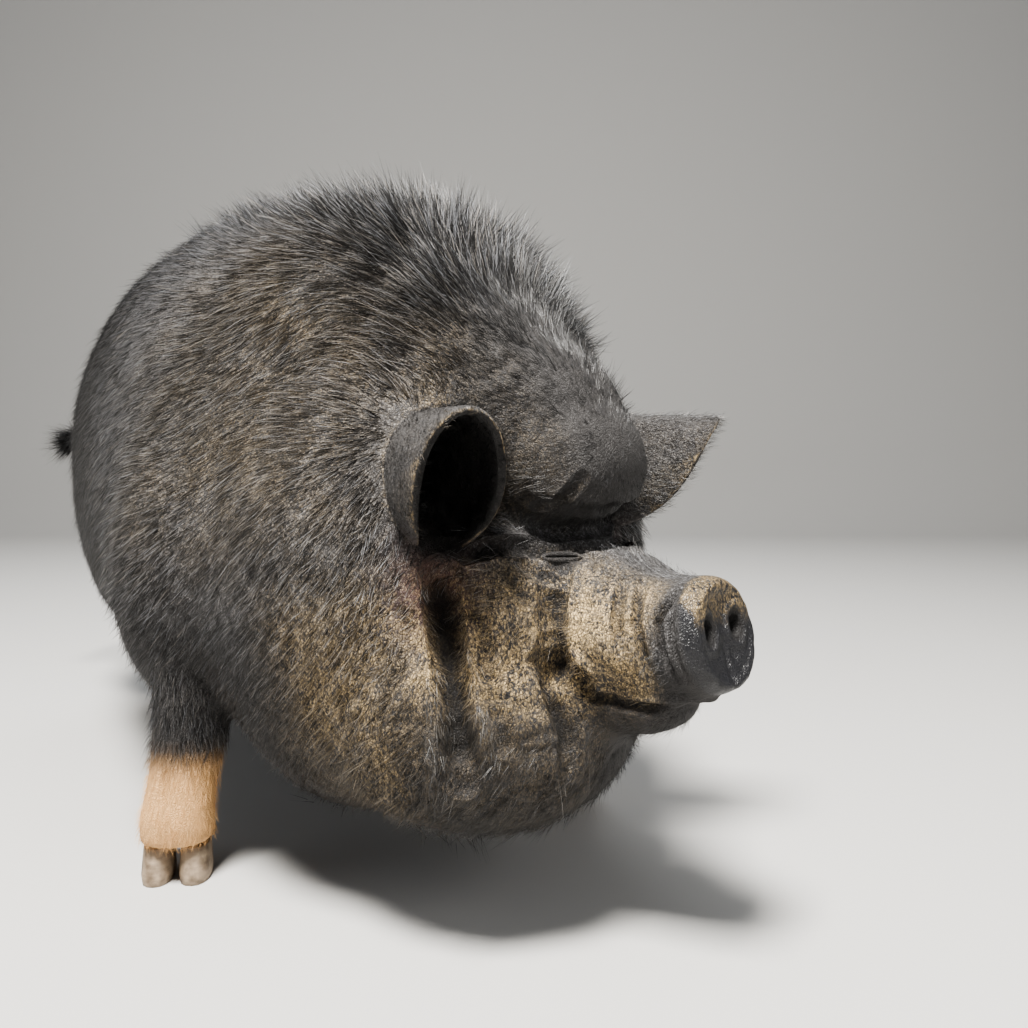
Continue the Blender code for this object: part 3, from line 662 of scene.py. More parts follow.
def refine_head(obj):
    """Quarters the faces of the head, whose folds are narrower than the body's."""
    mesh = obj.data
    head = in_head_axes(vertex_places(mesh))[1] > 0.0
    bm = bmesh.new()
    bm.from_mesh(mesh)
    bm.verts.ensure_lookup_table()
    edges = [edge for edge in bm.edges if head[edge.verts[0].index] and head[edge.verts[1].index]]
    bmesh.ops.subdivide_edges(bm, edges=edges, cuts=1, use_grid_fill=True)
    inner = [vert for vert in bm.verts if (vert.co - EAR_LINE).dot(head_direction(0, 1, 0)) > 0.002]
    for _ in range(3):
        bmesh.ops.smooth_vert(
            bm, verts=inner, factor=0.5, use_axis_x=True, use_axis_y=True, use_axis_z=True
        )
    bm.to_mesh(mesh)
    bm.free()
    mesh.update()


def head_paths(path):
    """A path of the right side of the head and its mirror on the left side."""
    return [[on_head(side * a, b, c) for a, b, c in path] for side in (-1, 1)]


def fold_lines():
    """Every fold of the face and neck: its line, depth, half width and swelling."""
    brow = [(0.086, 0.040, -0.033), (0.064, 0.067, -0.028), (0.040, 0.087, -0.026), (0.014, 0.100, -0.024)]
    whole_brow = [(-a, b, c) for a, b, c in brow] + brow[::-1]
    folds = [([on_head(*p) for p in whole_brow], 0.0085, 0.0046, 0.0024)]
    one_side = [
        (
            [
                (0.050, 0.094, -0.050),
                (0.058, 0.098, -0.066),
                (0.060, 0.100, -0.088),
                (0.056, 0.103, -0.103),
                (0.048, 0.112, -0.114),
            ],
            (0.0092, 0.0056, 0.0034),
        ),
        ([(0.062, 0.095, -0.098), (0.057, 0.103, -0.112), (0.050, 0.111, -0.122)], (0.0120, 0.0062, 0.0020)),
        (
            [
                (0.053, 0.108, -0.119),
                (0.044, 0.120, -0.125),
                (0.036, 0.135, -0.128),
                (0.028, 0.152, -0.128),
                (0.016, 0.168, -0.127),
                (0.000, 0.173, -0.126),
            ],
            (0.0055, 0.0026, 0.0010),
        ),
        (
            [(0.062, 0.092, -0.104), (0.059, 0.101, -0.124), (0.055, 0.110, -0.145), (0.054, 0.110, -0.168)],
            (0.0095, 0.0050, 0.0028),
        ),
        (
            [(0.024, 0.170, -0.055), (0.037, 0.171, -0.073), (0.038, 0.175, -0.090), (0.029, 0.178, -0.106)],
            (0.0036, 0.0020, 0.0012),
        ),
        (
            [(0.022, 0.168, -0.052), (0.037, 0.163, -0.072), (0.038, 0.167, -0.090), (0.031, 0.172, -0.107)],
            (0.0068, 0.0024, 0.0022),
        ),
        (
            [(0.024, 0.142, -0.050), (0.041, 0.150, -0.074), (0.041, 0.155, -0.091), (0.034, 0.157, -0.108)],
            (0.0058, 0.0022, 0.0018),
        ),
        ([(0.030, 0.132, -0.048), (0.044, 0.138, -0.070), (0.045, 0.141, -0.092)], (0.0045, 0.0020, 0.0014)),
        ([(0.034, 0.120, -0.045), (0.049, 0.122, -0.064), (0.053, 0.120, -0.090)], (0.0016, 0.0034, 0.0008)),
        (
            [
                (0.096, 0.037, -0.050),
                (0.098, 0.043, -0.078),
                (0.103, 0.052, -0.102),
                (0.112, 0.066, -0.134),
                (0.112, 0.072, -0.171),
            ],
            (0.0135, 0.0070, 0.0040),
        ),
        (
            [(0.088, 0.046, -0.042), (0.086, 0.060, -0.076), (0.088, 0.070, -0.112), (0.084, 0.078, -0.150)],
            (0.0032, 0.005, 0.0015),
        ),
        ([(0.066, 0.066, -0.036), (0.060, 0.080, -0.048), (0.046, 0.098, -0.056)], (0.0035, 0.003, 0.001)),
        ([(0.066, 0.062, -0.046), (0.066, 0.078, -0.062), (0.058, 0.092, -0.076)], (0.0024, 0.003, 0.001)),
        ([(0.048, 0.074, -0.014), (0.040, 0.088, -0.002), (0.034, 0.101, 0.012)], (0.0042, 0.003, 0.0016)),
        ([(0.050, 0.068, 0.004), (0.026, 0.082, 0.002), (0.000, 0.088, -0.002)], (0.0024, 0.005, 0.001)),
    ]
    for path, sizes in one_side:
        folds += [(line, *sizes) for line in head_paths(path)]
    return folds


def press_folds(obj, folds):
    """Presses folds in, swells the flesh beside them and gives each place's nearness to a bottom."""
    mesh = obj.data
    places = vertex_places(mesh)
    normals = vertex_normals(mesh)
    tree = surface_tree(obj)
    move = np.zeros(len(places))
    bottom = np.zeros(len(places))
    for path, depth, width, swell in folds:
        line = [path[0]]
        for start, end in zip(path, path[1:]):
            line += [start.lerp(end, t) for t in (0.2, 0.4, 0.6, 0.8, 1.0)]
        middle = np.mean([tuple(p) for p in line], axis=0)
        reach = max((p - Vector(middle)).length for p in line) + width * 5
        near = np.flatnonzero(np.linalg.norm(places - middle, axis=1) < reach)
        away = distance_to_path(places[near], nearest_on(tree, line)) / width
        fade = np.ones(len(near))
        for end in (path[0], path[-1]):
            if abs((end - EAR_LINE).dot(head_direction(1, 0, 0))) > 0.004:
                fade *= 0.2 + 0.8 * ease(np.linalg.norm(places[near] - np.array(end), axis=1), 0.0, 0.016)
        move[near] += fade * (swell * np.exp(-((away - 2.0) ** 2)) - depth * np.exp(-(away**2)))
        dark = fade * min(depth / 0.006, 1.0) * np.exp(-((1.9 * away) ** 2))
        bottom[near] = np.maximum(bottom[near], dark)
    move_vertices(mesh, places + normals * move[:, None])
    return bottom


def hollow_tree(obj, bottom):
    """Search tree over the places that lie in a fold."""
    places = vertex_places(obj.data)
    deep = np.flatnonzero(bottom > 0.03)
    hollows = KDTree(len(deep))
    for i in deep:
        hollows.insert(places[i], i)
    hollows.balance()
    return hollows


def shape_disc(obj):
    """Raises the rim of the disc and of its nostrils and dips the disc between them."""
    mesh = obj.data
    places = vertex_places(mesh)
    left, ahead, up = in_head_axes(places)
    lean = head_direction(0, 1, DISC_LEAN).normalized()
    facing = ease(vertex_normals(mesh) @ np.array(lean), 0.35, 0.75)
    facing *= ease(disc_forward(ahead, up), 0.168, 0.176)
    across, rise = left / DISC_HALF_WIDTH, (up + DISC_DROP) / DISC_HALF_HEIGHT
    radius = np.hypot(across, rise)
    move = 0.0026 * np.exp(-(((radius - 0.84) / 0.12) ** 2)) * (1 + 0.5 * ease(rise, 0.2, 0.8))
    move -= 0.0016 * (1 - ease(radius, 0.35, 0.75))
    hole = gap_to_nostril(left, up)
    move += 0.0018 * np.exp(-(((hole - 1.45) / 0.32) ** 2))
    move -= 0.0016 * np.exp(-((left / 0.0022) ** 2)) * ease(-rise, 0.0, 0.3)
    for i in np.flatnonzero(facing > 0.05):
        move[i] += 0.0007 * fractal(Vector(places[i]) * 130.0, 1.0, 2.0, 2)
    move_vertices(mesh, places + (move * facing)[:, None] * np.array(lean))


def swell_pads(obj):
    """Swells the pads of flesh that the folds of the face lie between, and draws in the lower lip."""
    mesh = obj.data
    places = vertex_places(mesh)
    left, ahead, up = in_head_axes(places)
    move = np.zeros(len(places))
    for (a, b, c), reach, height in (
        ((0.052, 0.126, -0.086), 0.022, 0.0050),
        ((0.074, 0.082, -0.075), 0.024, 0.0045),
        ((0.072, 0.078, -0.128), 0.026, 0.0050),
        ((0.100, 0.028, -0.120), 0.034, 0.0040),
        ((0.030, 0.098, 0.000), 0.026, 0.0030),
    ):
        away = np.sqrt((np.abs(left) - a) ** 2 + (ahead - b) ** 2 + (up - c) ** 2)
        move += height * np.exp(-((away / reach) ** 2))
    places += vertex_normals(mesh) * move[:, None]
    back = 0.42 * np.maximum(ahead - 0.140, 0.0) * ease(-up, 0.123, 0.129)
    places -= back[:, None] * np.array(head_direction(0, 1, 0))
    move_vertices(mesh, places)


def rumple(obj, depth):
    """Loose skin: shallow wrinkles that run round the neck and cheeks, and soft lumps of fat."""
    mesh = obj.data
    places = vertex_places(mesh)
    normals = vertex_normals(mesh)
    left, ahead, up = in_head_axes(places)
    loose = ease(-places[:, 1], 0.13, 0.24) * ease(-up, -0.02, 0.06) * (1 - ease(ahead, 0.10, 0.15))
    move = np.zeros(len(places))
    for i in np.flatnonzero(loose > 0.01):
        x, y, z = places[i]
        warp = noise(Vector((x, y, z)) * 18.0) * 0.6
        ridge = 1.0 - abs(noise(Vector((x * 20, y * 62 + warp * 3, z * 26 + warp))))
        move[i] = -loose[i] * depth * ridge**6
    soft = np.array([fractal(Vector(p) * 9.0, 1.0, 2.0, 2) for p in places])
    move += soft * 0.0022 * (1 - ease(ahead, 0.02, 0.09))
    move_vertices(mesh, places + normals * move[:, None])


def sink_under_coat(obj, body):
    """Moves the skin in by the depth of the short coat, less on the face and not at the disc."""
    mesh = obj.data
    places = vertex_places(mesh)
    ahead = in_head_axes(places)[1]
    depth = body.coat_depth * (1 - 0.60 * ease(ahead, 0.0, 0.09)) * (1 - ease(ahead, 0.13, 0.16))
    move_vertices(mesh, places - vertex_normals(mesh) * depth[:, None])


def soften_roots(skin, core_tree, piece_trees, reach, steps):
    """Smooths the skin where ears, legs and tail grow out of it."""
    bm = bmesh.new()
    bm.from_mesh(skin.data)
    near = []
    for vert in bm.verts:
        if core_tree.find_nearest(vert.co, reach)[0] is None:
            continue
        for tree in piece_trees:
            if tree.find_nearest(vert.co, reach)[0] is not None:
                near.append(vert)
                break
    for _ in range(steps):
        bmesh.ops.smooth_vert(
            bm, verts=near, factor=0.5, use_axis_x=True, use_axis_y=True, use_axis_z=True
        )
    bm.to_mesh(skin.data)
    bm.free()
    skin.data.update()


LEG_STATIONS = {
    "front": (
        (0.200, 0.046, 0.050, 0.004, 0.024),
        (0.150, 0.034, 0.037, 0.003, 0.018),
        (0.105, 0.0275, 0.030, 0.001, 0.010),
        (0.070, 0.0260, 0.028, -0.001, 0.004),
        (0.048, 0.0280, 0.029, -0.002, 0.0),
        (CORONET_HEIGHT + 0.0003, 0.0270, 0.0245, -0.003, 0.0),
    ),
    "hind": (
        (0.300, 0.060, 0.075, 0.000, 0.0),
        (0.220, 0.050, 0.060, 0.012, 0.0),
        (0.150, 0.032, 0.040, 0.034, 0.0),
        (0.115, 0.026, 0.034, 0.040, 0.0),
        (0.070, 0.0245, 0.028, 0.018, 0.0),
        (0.046, 0.0275, 0.029, 0.004, 0.0),
        (CORONET_HEIGHT + 0.0003, 0.0270, 0.0245, -0.003, 0.0),
    ),
}


def feet():
    """Name, place, turn and stations of each leg."""
    hind_right = (-HIND_FOOT[0], HIND_FOOT[1])
    return (
        ("front_right", FRONT_FOOT_RIGHT, -TOE_OUT, LEG_STATIONS["front"]),
        ("front_left", FRONT_FOOT_LEFT, TOE_OUT, LEG_STATIONS["front"]),
        ("hind_right", hind_right, -TOE_OUT / 2, LEG_STATIONS["hind"]),
        ("hind_left", HIND_FOOT, TOE_OUT / 2, LEG_STATIONS["hind"]),
    )


def frame_place():
    """How far the modelled pig moves to stand on the frame's own hooves."""
    scrap = bpy.data.collections.new("scrap")
    hoof = claw("scrap", FRONT_FOOT_LEFT, TOE_OUT, -1, scrap)
    corners = vertex_places(hoof.data)
    middle = (corners.min(axis=0) + corners.max(axis=0)) / 2
    low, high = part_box("claw_front_left_first")
    remove(hoof)
    bpy.data.collections.remove(scrap)
    return Vector([(low[i] + high[i]) / 2 - middle[i] for i in (0, 1)] + [0.0])


PLACE = Vector((0, 0, 0))


def disc_forward(ahead, up):
    """How far forward a place lies when the lean of the snout's disc is taken out."""
    return ahead + (up + DISC_DROP) * DISC_LEAN


def body_part_masks(places, grown_from):
    """Which grown form each vertex belongs to: body 0, ears 1, legs 2 and tail 3."""
    kinds = np.zeros(len(places), dtype=int)
    for i, place in enumerate(places):
        best = grown_from[0][1].find_nearest(place)[3] - 0.0004
        for kind, tree in grown_from[1:]:
            away = tree.find_nearest(place, 0.012)[3]
            if away is not None and away < best:
                best = away
                kinds[i] = kind
    return kinds


def coat_fields(places, normals, kinds):
    """Lie, length, lift and cover of the coat at each vertex."""
    left, ahead, up = in_head_axes(places)
    axes = [np.array(axis) for axis in head_axes()]
    slope = 1.0 - np.clip(normals[:, 2], 0, 1)
    side = np.sign(left)
    ones = np.ones(len(places))
    body = np.stack([0.25 * normals[:, 0], ones, -0.85 * slope], axis=1)
    neck = np.stack([0.45 * normals[:, 0], 0.75 * ones, -1.1 * slope], axis=1)
    mix = ease(-places[:, 1], 0.10, 0.24)[:, None]
    flow = body * (1 - mix) + neck * mix
    face = (
        axes[0] * (0.25 * side * np.minimum(np.abs(left) / 0.04, 1))[:, None]
        - axes[1] * (0.95 - 0.25 * ease(-up, 0.08, 0.14))[:, None]
        - axes[2] * (0.15 + 0.85 * ease(np.abs(left), 0.02, 0.07) * ease(-up, 0.04, 0.12))[:, None]
    )
    mix = ease(ahead, -0.01, 0.06)[:, None]
    flow = flow * (1 - mix) + face * mix
    lengths = 0.0175 + 0.005 * ease(-places[:, 1], 0.0, 0.16) * ease(places[:, 2], 0.28, 0.42)
    lengths -= 0.005 * ease(-normals[:, 2], 0.3, 0.9)
    face_length = 0.0080 + 0.0060 * (1 - ease(ahead, 0.03, 0.12)) + 0.003 * ease(-up, 0.13, 0.17)
    mix = ease(ahead, -0.02, 0.05)
    lengths = lengths * (1 - mix) + face_length * mix
    near_eye = np.hypot(np.abs(left) - EYE_PLACE[0], up - EYE_PLACE[2]) + np.abs(ahead - EYE_PLACE[1]) * 0.5
    lengths *= 0.55 + 0.45 * ease(near_eye, 0.012, 0.035)
    lifts = 0.15 + 0.10 * ease(normals[:, 2], 0.4, 0.8) * (1 - ease(places[:, 1], 0.05, 0.30))
    cover = 1.0 - ease(disc_forward(ahead, up), 0.166, 0.173)
    mouth = np.abs(up + 0.127) + 10 * np.maximum(0.12 - ahead, 0)
    cover *= 0.25 + 0.75 * ease(mouth, 0.003, 0.008)
    cover *= 0.2 + 0.8 * ease(near_eye, 0.012, 0.020)
    for end in (-1, 1):
        root = np.array(on_head(end * (EAR_ROOT[0] + 0.012), EAR_ROOT[1] - 0.005, 0.035))
        away = places - root
        reach = np.linalg.norm(away, axis=1)
        flow += 1.6 * unit(away) * np.exp(-((reach / 0.075) ** 2))[:, None]
    for i in np.flatnonzero(kinds == 1):
        word = "left" if left[i] > 0 else "right"
        turn = EAR_OUTWARD[word]
        flow[i] = axes[0] * (side[i] * math.sin(turn)) + axes[1] * math.cos(turn)
    flow[kinds == 2] = (0.0, 0.12, -1.0)
    flow[kinds == 3] = (-0.8, -0.5, -0.25)
    lengths[kinds == 1] = 0.0085
    lengths[kinds == 2] = 0.0085 + 0.006 * ease(places[kinds == 2, 2], 0.07, 0.12)
    lengths[kinds == 3] = 0.011
    lifts[kinds > 0] = 0.22
    lifts[kinds == 1] = 0.30
    flow -= normals * np.sum(flow * normals, axis=1)[:, None]
    return unit(flow), lengths, lifts, cover


def markings(places, normals, kinds):
    """Dusty tan with a painted highlight along the ear rims, pale sock, bare and reddish skin, dust that is
    lowered where shade is painted, and the painted shadow inside the ears, at each vertex, from 0 to 1.
    """
    left, ahead, up = in_head_axes(places)
    right_cheek = ease(-left, 0.005, 0.035) * ease(ahead, 0.02, 0.07) * (1 - ease(ahead, 0.145, 0.165))
    tan = 1.0 * right_cheek * ease(-up, 0.03, 0.06) * (1 - 0.85 * ease(-up, 0.105, 0.150))
    jowl = ease(ahead, 0.015, 0.055) * ease(-up, 0.10, 0.14)
    tan += 0.6 * ease(-left, 0.06, 0.11) * ease(-up, 0.03, 0.10) * ease(ahead, -0.10, 0.0) * (1 - jowl)
    tan *= 1 - 0.55 * ease(-up, 0.16, 0.22)
    shoulder = ease(places[:, 2], 0.20, 0.34) * ease(-places[:, 1], 0.02, 0.20)
    shoulder *= ease(-normals[:, 0], 0.2, 0.8)
    tan += 0.28 * shoulder * (1 - 0.6 * ease(ahead, 0.0, 0.03))
    tan *= 1 - ease(disc_forward(ahead, up), 0.166, 0.178)
    sock = (kinds == 2) * (1 - ease(places[:, 2], 0.078, 0.108))
    bare = ease(disc_forward(ahead, up), 0.1755, 0.181)
    red = np.exp(-((np.abs(left) - 0.095) ** 2 + (up + 0.06) ** 2 + (ahead - 0.03) ** 2) / 0.028**2)
    tan *= 1 - 0.8 * ease(-up, 0.122, 0.130) * ease(ahead, 0.10, 0.13)
    top = bare * ease((up + DISC_DROP) / DISC_HALF_HEIGHT, 0.1, 0.6) * (np.abs(left) < 0.030)
    eye_gap = gap_to_eye(left, ahead, up)
    # Painted shade round the eye slit: less tan there.
    tan *= 0.15 + 0.85 * ease(eye_gap, 0.009, 0.018)
    # Dust: grey dust on the coat, lowered as painted shade underneath, towards the rear, low down and at the
    # jowls; also lowered on the top and on the dome.
    under = ease(-normals[:, 2], 0.2, 0.8) * (kinds == 0)
    dust = (1 - 0.7 * under) * (1 - bare) * (1 - 0.8 * ease(places[:, 1], -0.05, 0.20))
    dust *= 1 - 0.15 * ease(normals[:, 2], 0.3, 0.7) * (1 - ease(ahead, -0.01, 0.03))
    dust *= 0.30 + 0.70 * ease(places[:, 2], 0.10, 0.30) * ease(-places[:, 1], -0.12, 0.06)
    dust *= 1 - 0.8 * ease(ahead, -0.02, 0.03) * ease(up, -0.02, 0.02)
    dust *= 1 - 0.7 * ease(ahead, 0.0, 0.04) * ease(-up, 0.10, 0.14)
    dust *= 1 - 0.5 * ease(-normals[:, 2], -0.1, 0.5)
    dust[kinds == 1] = 0.7
    # Painted shadow inside the ear cups and on the skin between an ear's walls: no dust or tan there, and
    # the ear field darkens skin and hair.
    hollow = vertex_inside_ear(places, normals, left, ahead)
    inside = np.where(kinds == 1, ease(hollow, 0.0, 0.3), (kinds == 0) * in_ear_bowl(places))
    # Painted highlight: tan along the ear rims stands for their sunlit edge.
    tan[kinds == 1] = 0.9 * np.exp(-((hollow[kinds == 1] / 0.5) ** 2))
    tan *= 1 - inside
    # Painted shade round the eye slit: less dust there.
    dust *= 0.2 + 0.8 * ease(eye_gap, 0.009, 0.018)
    return {
        "tan": np.clip(tan + 0.45 * top, 0, 1),
        "sock": sock,
        "bare": bare,
        "red": np.clip(red, 0, 1),
        "dust": dust * (1 - inside),
        "ear": inside,
    }


def vertex_inside_ear(places, normals, left, ahead):
    """Positive where an ear's skin faces the hollow of the ear."""
    hollow = np.zeros(len(places))
    for word, side in (("right", -1), ("left", 1)):
        near = np.flatnonzero((left * side > 0) & (ahead > -0.05))
        turn = EAR_OUTWARD[word]
        root = np.array(on_head(side * EAR_ROOT[0], EAR_ROOT[1], EAR_TOP - EAR_HALF_HEIGHT))
        axis = np.array(head_direction(side * math.sin(turn), math.cos(turn), 0.0))
        away = places[near] - root
        away -= np.outer(away @ axis, axis)
        hollow[near] = -np.sum(unit(away) * normals[near], axis=1)
        hollow[near] += 2.0 * np.maximum(normals[near] @ axis, 0) * (np.linalg.norm(away, axis=1) < 0.033)
    return hollow


def in_ear_bowl(places):
    """How deep each place lies between the walls of an ear, from 0 to 1."""
    deep = np.zeros(len(places))
    for word, side in (("right", -1), ("left", 1)):
        turn = EAR_OUTWARD[word]
        root = np.array(on_head(side * EAR_ROOT[0], EAR_ROOT[1], EAR_TOP - EAR_HALF_HEIGHT))
        axis = np.array(head_direction(side * math.sin(turn), math.cos(turn), 0.0))
        across = np.array(head_direction(math.cos(turn), -side * math.sin(turn), 0.0))
        away = places - root
        oval = np.hypot(away @ across / EAR_HALF_WIDTH, away[:, 2] / EAR_HALF_HEIGHT)
        ahead = away @ axis
        bowl = (1 - ease(oval, 0.75, 0.98)) * (ahead > -0.01) * (ahead < 0.09)
        deep = np.maximum(deep, bowl)
    return deep


def store(mesh, name, values, kind="FLOAT"):
    layer = mesh.attributes.new(name, kind, "POINT")
    field = "value" if kind == "FLOAT" else "vector"
    layer.data.foreach_set(field, np.ascontiguousarray(values, dtype=np.float32).ravel())


def unwrap(mesh, kinds):
    """Unrolls the body round its long axis; ears, legs and tail each unroll on their own."""
    places = vertex_places(mesh)
    around = np.zeros(len(places))
    along = np.zeros(len(places))
    islands = [(kinds == 0, (0.0, 0.0, 1.0, 0.80), (0.0, 0.16, 0.27), 1)]
    slots = [(0.0, 0.81), (0.25, 0.81), (0.50, 0.81), (0.75, 0.81)]
    for i, (_, foot, *_) in enumerate(feet()):
        near = (kinds == 2) & (np.hypot(places[:, 0] - foot[0], places[:, 1] - foot[1]) < 0.10)
        islands.append((near, (*slots[i], 0.24, 0.09), (foot[0], foot[1], 0.09), 2))
    for i, side in enumerate((-1, 1)):
        near = (kinds == 1) & (np.sign(places[:, 0] - EAR_LINE.x) == side)
        middle = on_head(side * (EAR_ROOT[0] + 0.03), 0.03, 0.02)
        islands.append((near, (0.33 * i, 0.91, 0.32, 0.09), tuple(middle), 1))
    islands.append((kinds == 3, (0.67, 0.91, 0.32, 0.09), (-0.10, 0.575, 0.375), 0))
    for near, (u0, v0, wide, high), middle, axis in islands:
        if not near.any():
            continue
        away = places[near] - np.array(middle)
        other = [i for i in range(3) if i != axis]
        turn = np.arctan2(away[:, other[0]], away[:, other[1]]) / math.tau + 0.5
        polar = np.arctan2(away[:, axis], np.hypot(away[:, other[0]], away[:, other[1]])) / math.pi + 0.5
        around[near] = u0 + wide * (0.01 + 0.98 * turn)
        along[near] = v0 + high * (0.01 + 0.98 * polar)
    corners = np.empty(len(mesh.loops), dtype=np.int32)
    mesh.loops.foreach_get("vertex_index", corners)
    u, v = around[corners], along[corners]
    starts = np.empty(len(mesh.polygons), dtype=np.int32)
    mesh.polygons.foreach_get("loop_start", starts)
    ends = np.append(starts[1:], len(u))
    low = np.minimum.reduceat(u, starts)
    high = np.maximum.reduceat(u, starts)
    for i in np.flatnonzero(high - low > 0.12):
        part = slice(starts[i], ends[i])
        u[part] = np.where(u[part] < (low[i] + high[i]) / 2, high[i], u[part])
    layer = mesh.uv_layers.new(name="OFBake")
    layer.data.foreach_set("uv", np.stack([u, v], axis=1).astype(np.float32).ravel())


def hollow_share(places, hollows, bottom):
    """How deep in a fold, a nostril or an eye's slit each place lies, from 0 to 1; it shortens the hair
    there and is painted as shade on skin and hair.
    """
    share = np.zeros(len(places))
    left, ahead, up = in_head_axes(places)
    for i in np.flatnonzero((ahead > 0.0) & (up < 0.03)):
        found = hollows.find(places[i])
        if found[2] < 0.005:
            share[i] = bottom[found[1]] * (1 - found[2] / 0.005)
    hole = gap_to_nostril(left, up)
    share = np.maximum(share, (1 - ease(hole, 1.0, 1.5)) * (ahead > 0.155))
    return np.maximum(share, 0.75 * (1 - ease(gap_to_eye(left, ahead, up), 0.007, 0.014)))


def gap_to_nostril(left, up):
    """Distance from the nearer nostril's middle, where 1 is its rim."""
    across = (np.abs(left) - NOSTRIL_PLACE[0]) / NOSTRIL_HALF_WIDTH
    return np.hypot(across, (up - NOSTRIL_PLACE[1]) / NOSTRIL_HALF_HEIGHT)


def gap_to_eye(left, ahead, up):
    """Distance from the nearer eye."""
    a, b, c = EYE_PLACE
    return np.sqrt((np.abs(left) - a) ** 2 + (ahead - b) ** 2 + (up - c) ** 2)


def build_skin(body):
    """Head, neck, torso, ears, legs and tail in one closed skin with its coat fields."""
    work = bpy.data.collections.new("work")
    bpy.context.scene.collection.children.link(work)
    skin = fine_body(work, body.skin_detail)
    shape_disc(skin)
    swell_pads(skin)
    bottom = press_folds(skin, fold_lines())
    rumple(skin, body.wrinkle_depth)
    sink_under_coat(skin, body)
    hollows = hollow_tree(skin, bottom)
    core_tree = surface_tree(skin)
    joined = bpy.data.collections.new("joined")
    bpy.context.scene.collection.children.link(joined)
    eyes = [eye_frame(side, core_tree) for side in (-1, 1)]
    for eye in eyes:
        round_off(lid_ring(eye, joined), 1)
    join_collection(skin, joined)
    for eye in eyes:
        ball = eye_ball("socket", eye, work, EYE_RADIUS + 0.0003)
        boolean(skin, ball, "DIFFERENCE")
        remove(ball)
    for side in (-1, 1):
        plug = nostril(side, work)
        round_off(plug, 1)
        boolean(skin, plug, "DIFFERENCE")
        remove(plug)
    core_tree = surface_tree(skin)
    trees = []
    for word in ("right", "left"):
        form = ear(word, joined)
        round_off(form, 2)
        trees.append((1, surface_tree(form)))
    for name, foot, turn, stations in feet():
        form = leg("leg_" + name, foot, turn, stations, joined)
        round_off(form, 1)
        trees.append((2, surface_tree(form)))
    form = tail(joined)
    round_off(form, 1)
    trees.append((3, surface_tree(form)))
    join_collection(skin, joined)
    keep_largest(skin)
    soften_roots(skin, core_tree, [tree for _, tree in trees], 0.006, 8)
    mesh = skin.data
    places = vertex_places(mesh)
    normals = vertex_normals(mesh)
    kinds = body_part_masks(places, [(0, core_tree)] + trees)
    flow, lengths, lifts, cover = coat_fields(places, normals, kinds)
    store(mesh, "lie", flow, "FLOAT_VECTOR")
    share = hollow_share(places, hollows, bottom)
    store(mesh, "hair_length", lengths * (1 - 0.55 * share))
    store(mesh, "hair_lift", lifts)
    for name, values in markings(places, normals, kinds).items():
        store(mesh, name, values)
    store(mesh, "fold", share)
    for name, values in coat_zones(places, normals, kinds, cover).items():
        store(mesh, name, values)
    unwrap(mesh, kinds)
    mesh.shade_smooth()
    mesh.transform(Matrix.Translation(PLACE))
    return skin, eyes, work


def coat_zones(places, normals, kinds, cover):
    """Share of the full cover that each coat piece grows at each vertex."""
    left, ahead, up = in_head_axes(places)
    trunk = (kinds == 0) * cover
    rear = places[:, 1] > -0.115
    middle = EAR_LINE.x * np.clip(-places[:, 1] / 0.27, 0, 1)
    beside = places[:, 0] - middle
    head = ahead > 0.0
    crest = ease(normals[:, 2], 0.15, 0.55) * (1 - ease(np.abs(beside), 0.055, 0.115))
    crest *= (1 - ease(places[:, 1], 0.05, 0.28)) * (1 - 0.75 * ease(ahead, -0.01, 0.04))
    crest *= 1 - ease(ahead, 0.06, 0.10)
    long_coat = ease(places[:, 2], 0.16, 0.30) * (0.35 + 0.65 * ease(-places[:, 1], -0.20, 0.10))
    dome = 1.6 * head * ease(up, -0.025, 0.0) * (1 - ease(ahead, 0.085, 0.10))
    under = ease(-normals[:, 2], 0.1, 0.5) * ease(-places[:, 1], 0.02, 0.14) * (1 - ease(ahead, 0.03, 0.08))
    chin = ease(-up, 0.118, 0.130) * ease(ahead, 0.085, 0.12) * (1 - ease(ahead, 0.168, 0.176))
    tip = (kinds == 3) * ease(-places[:, 0], 0.165, 0.175)
    return {
        "torso_right": trunk * rear * (beside < 0),
        "torso_left": trunk * rear * (beside >= 0),
        "neck_right": trunk * ~rear * ~head * (beside < 0),
        "neck_left": trunk * ~rear * ~head * (beside >= 0),
        "face": trunk * head,
        "crest": trunk * crest,
        "guard": trunk * long_coat * ~head * (1 - crest) + trunk * dome + 0.5 * (kinds == 1),
        "fringe": trunk * under,
        "chin": trunk * chin,
        "limbs": (kinds > 0) * 1.0,
        "tassel": tip,
    }


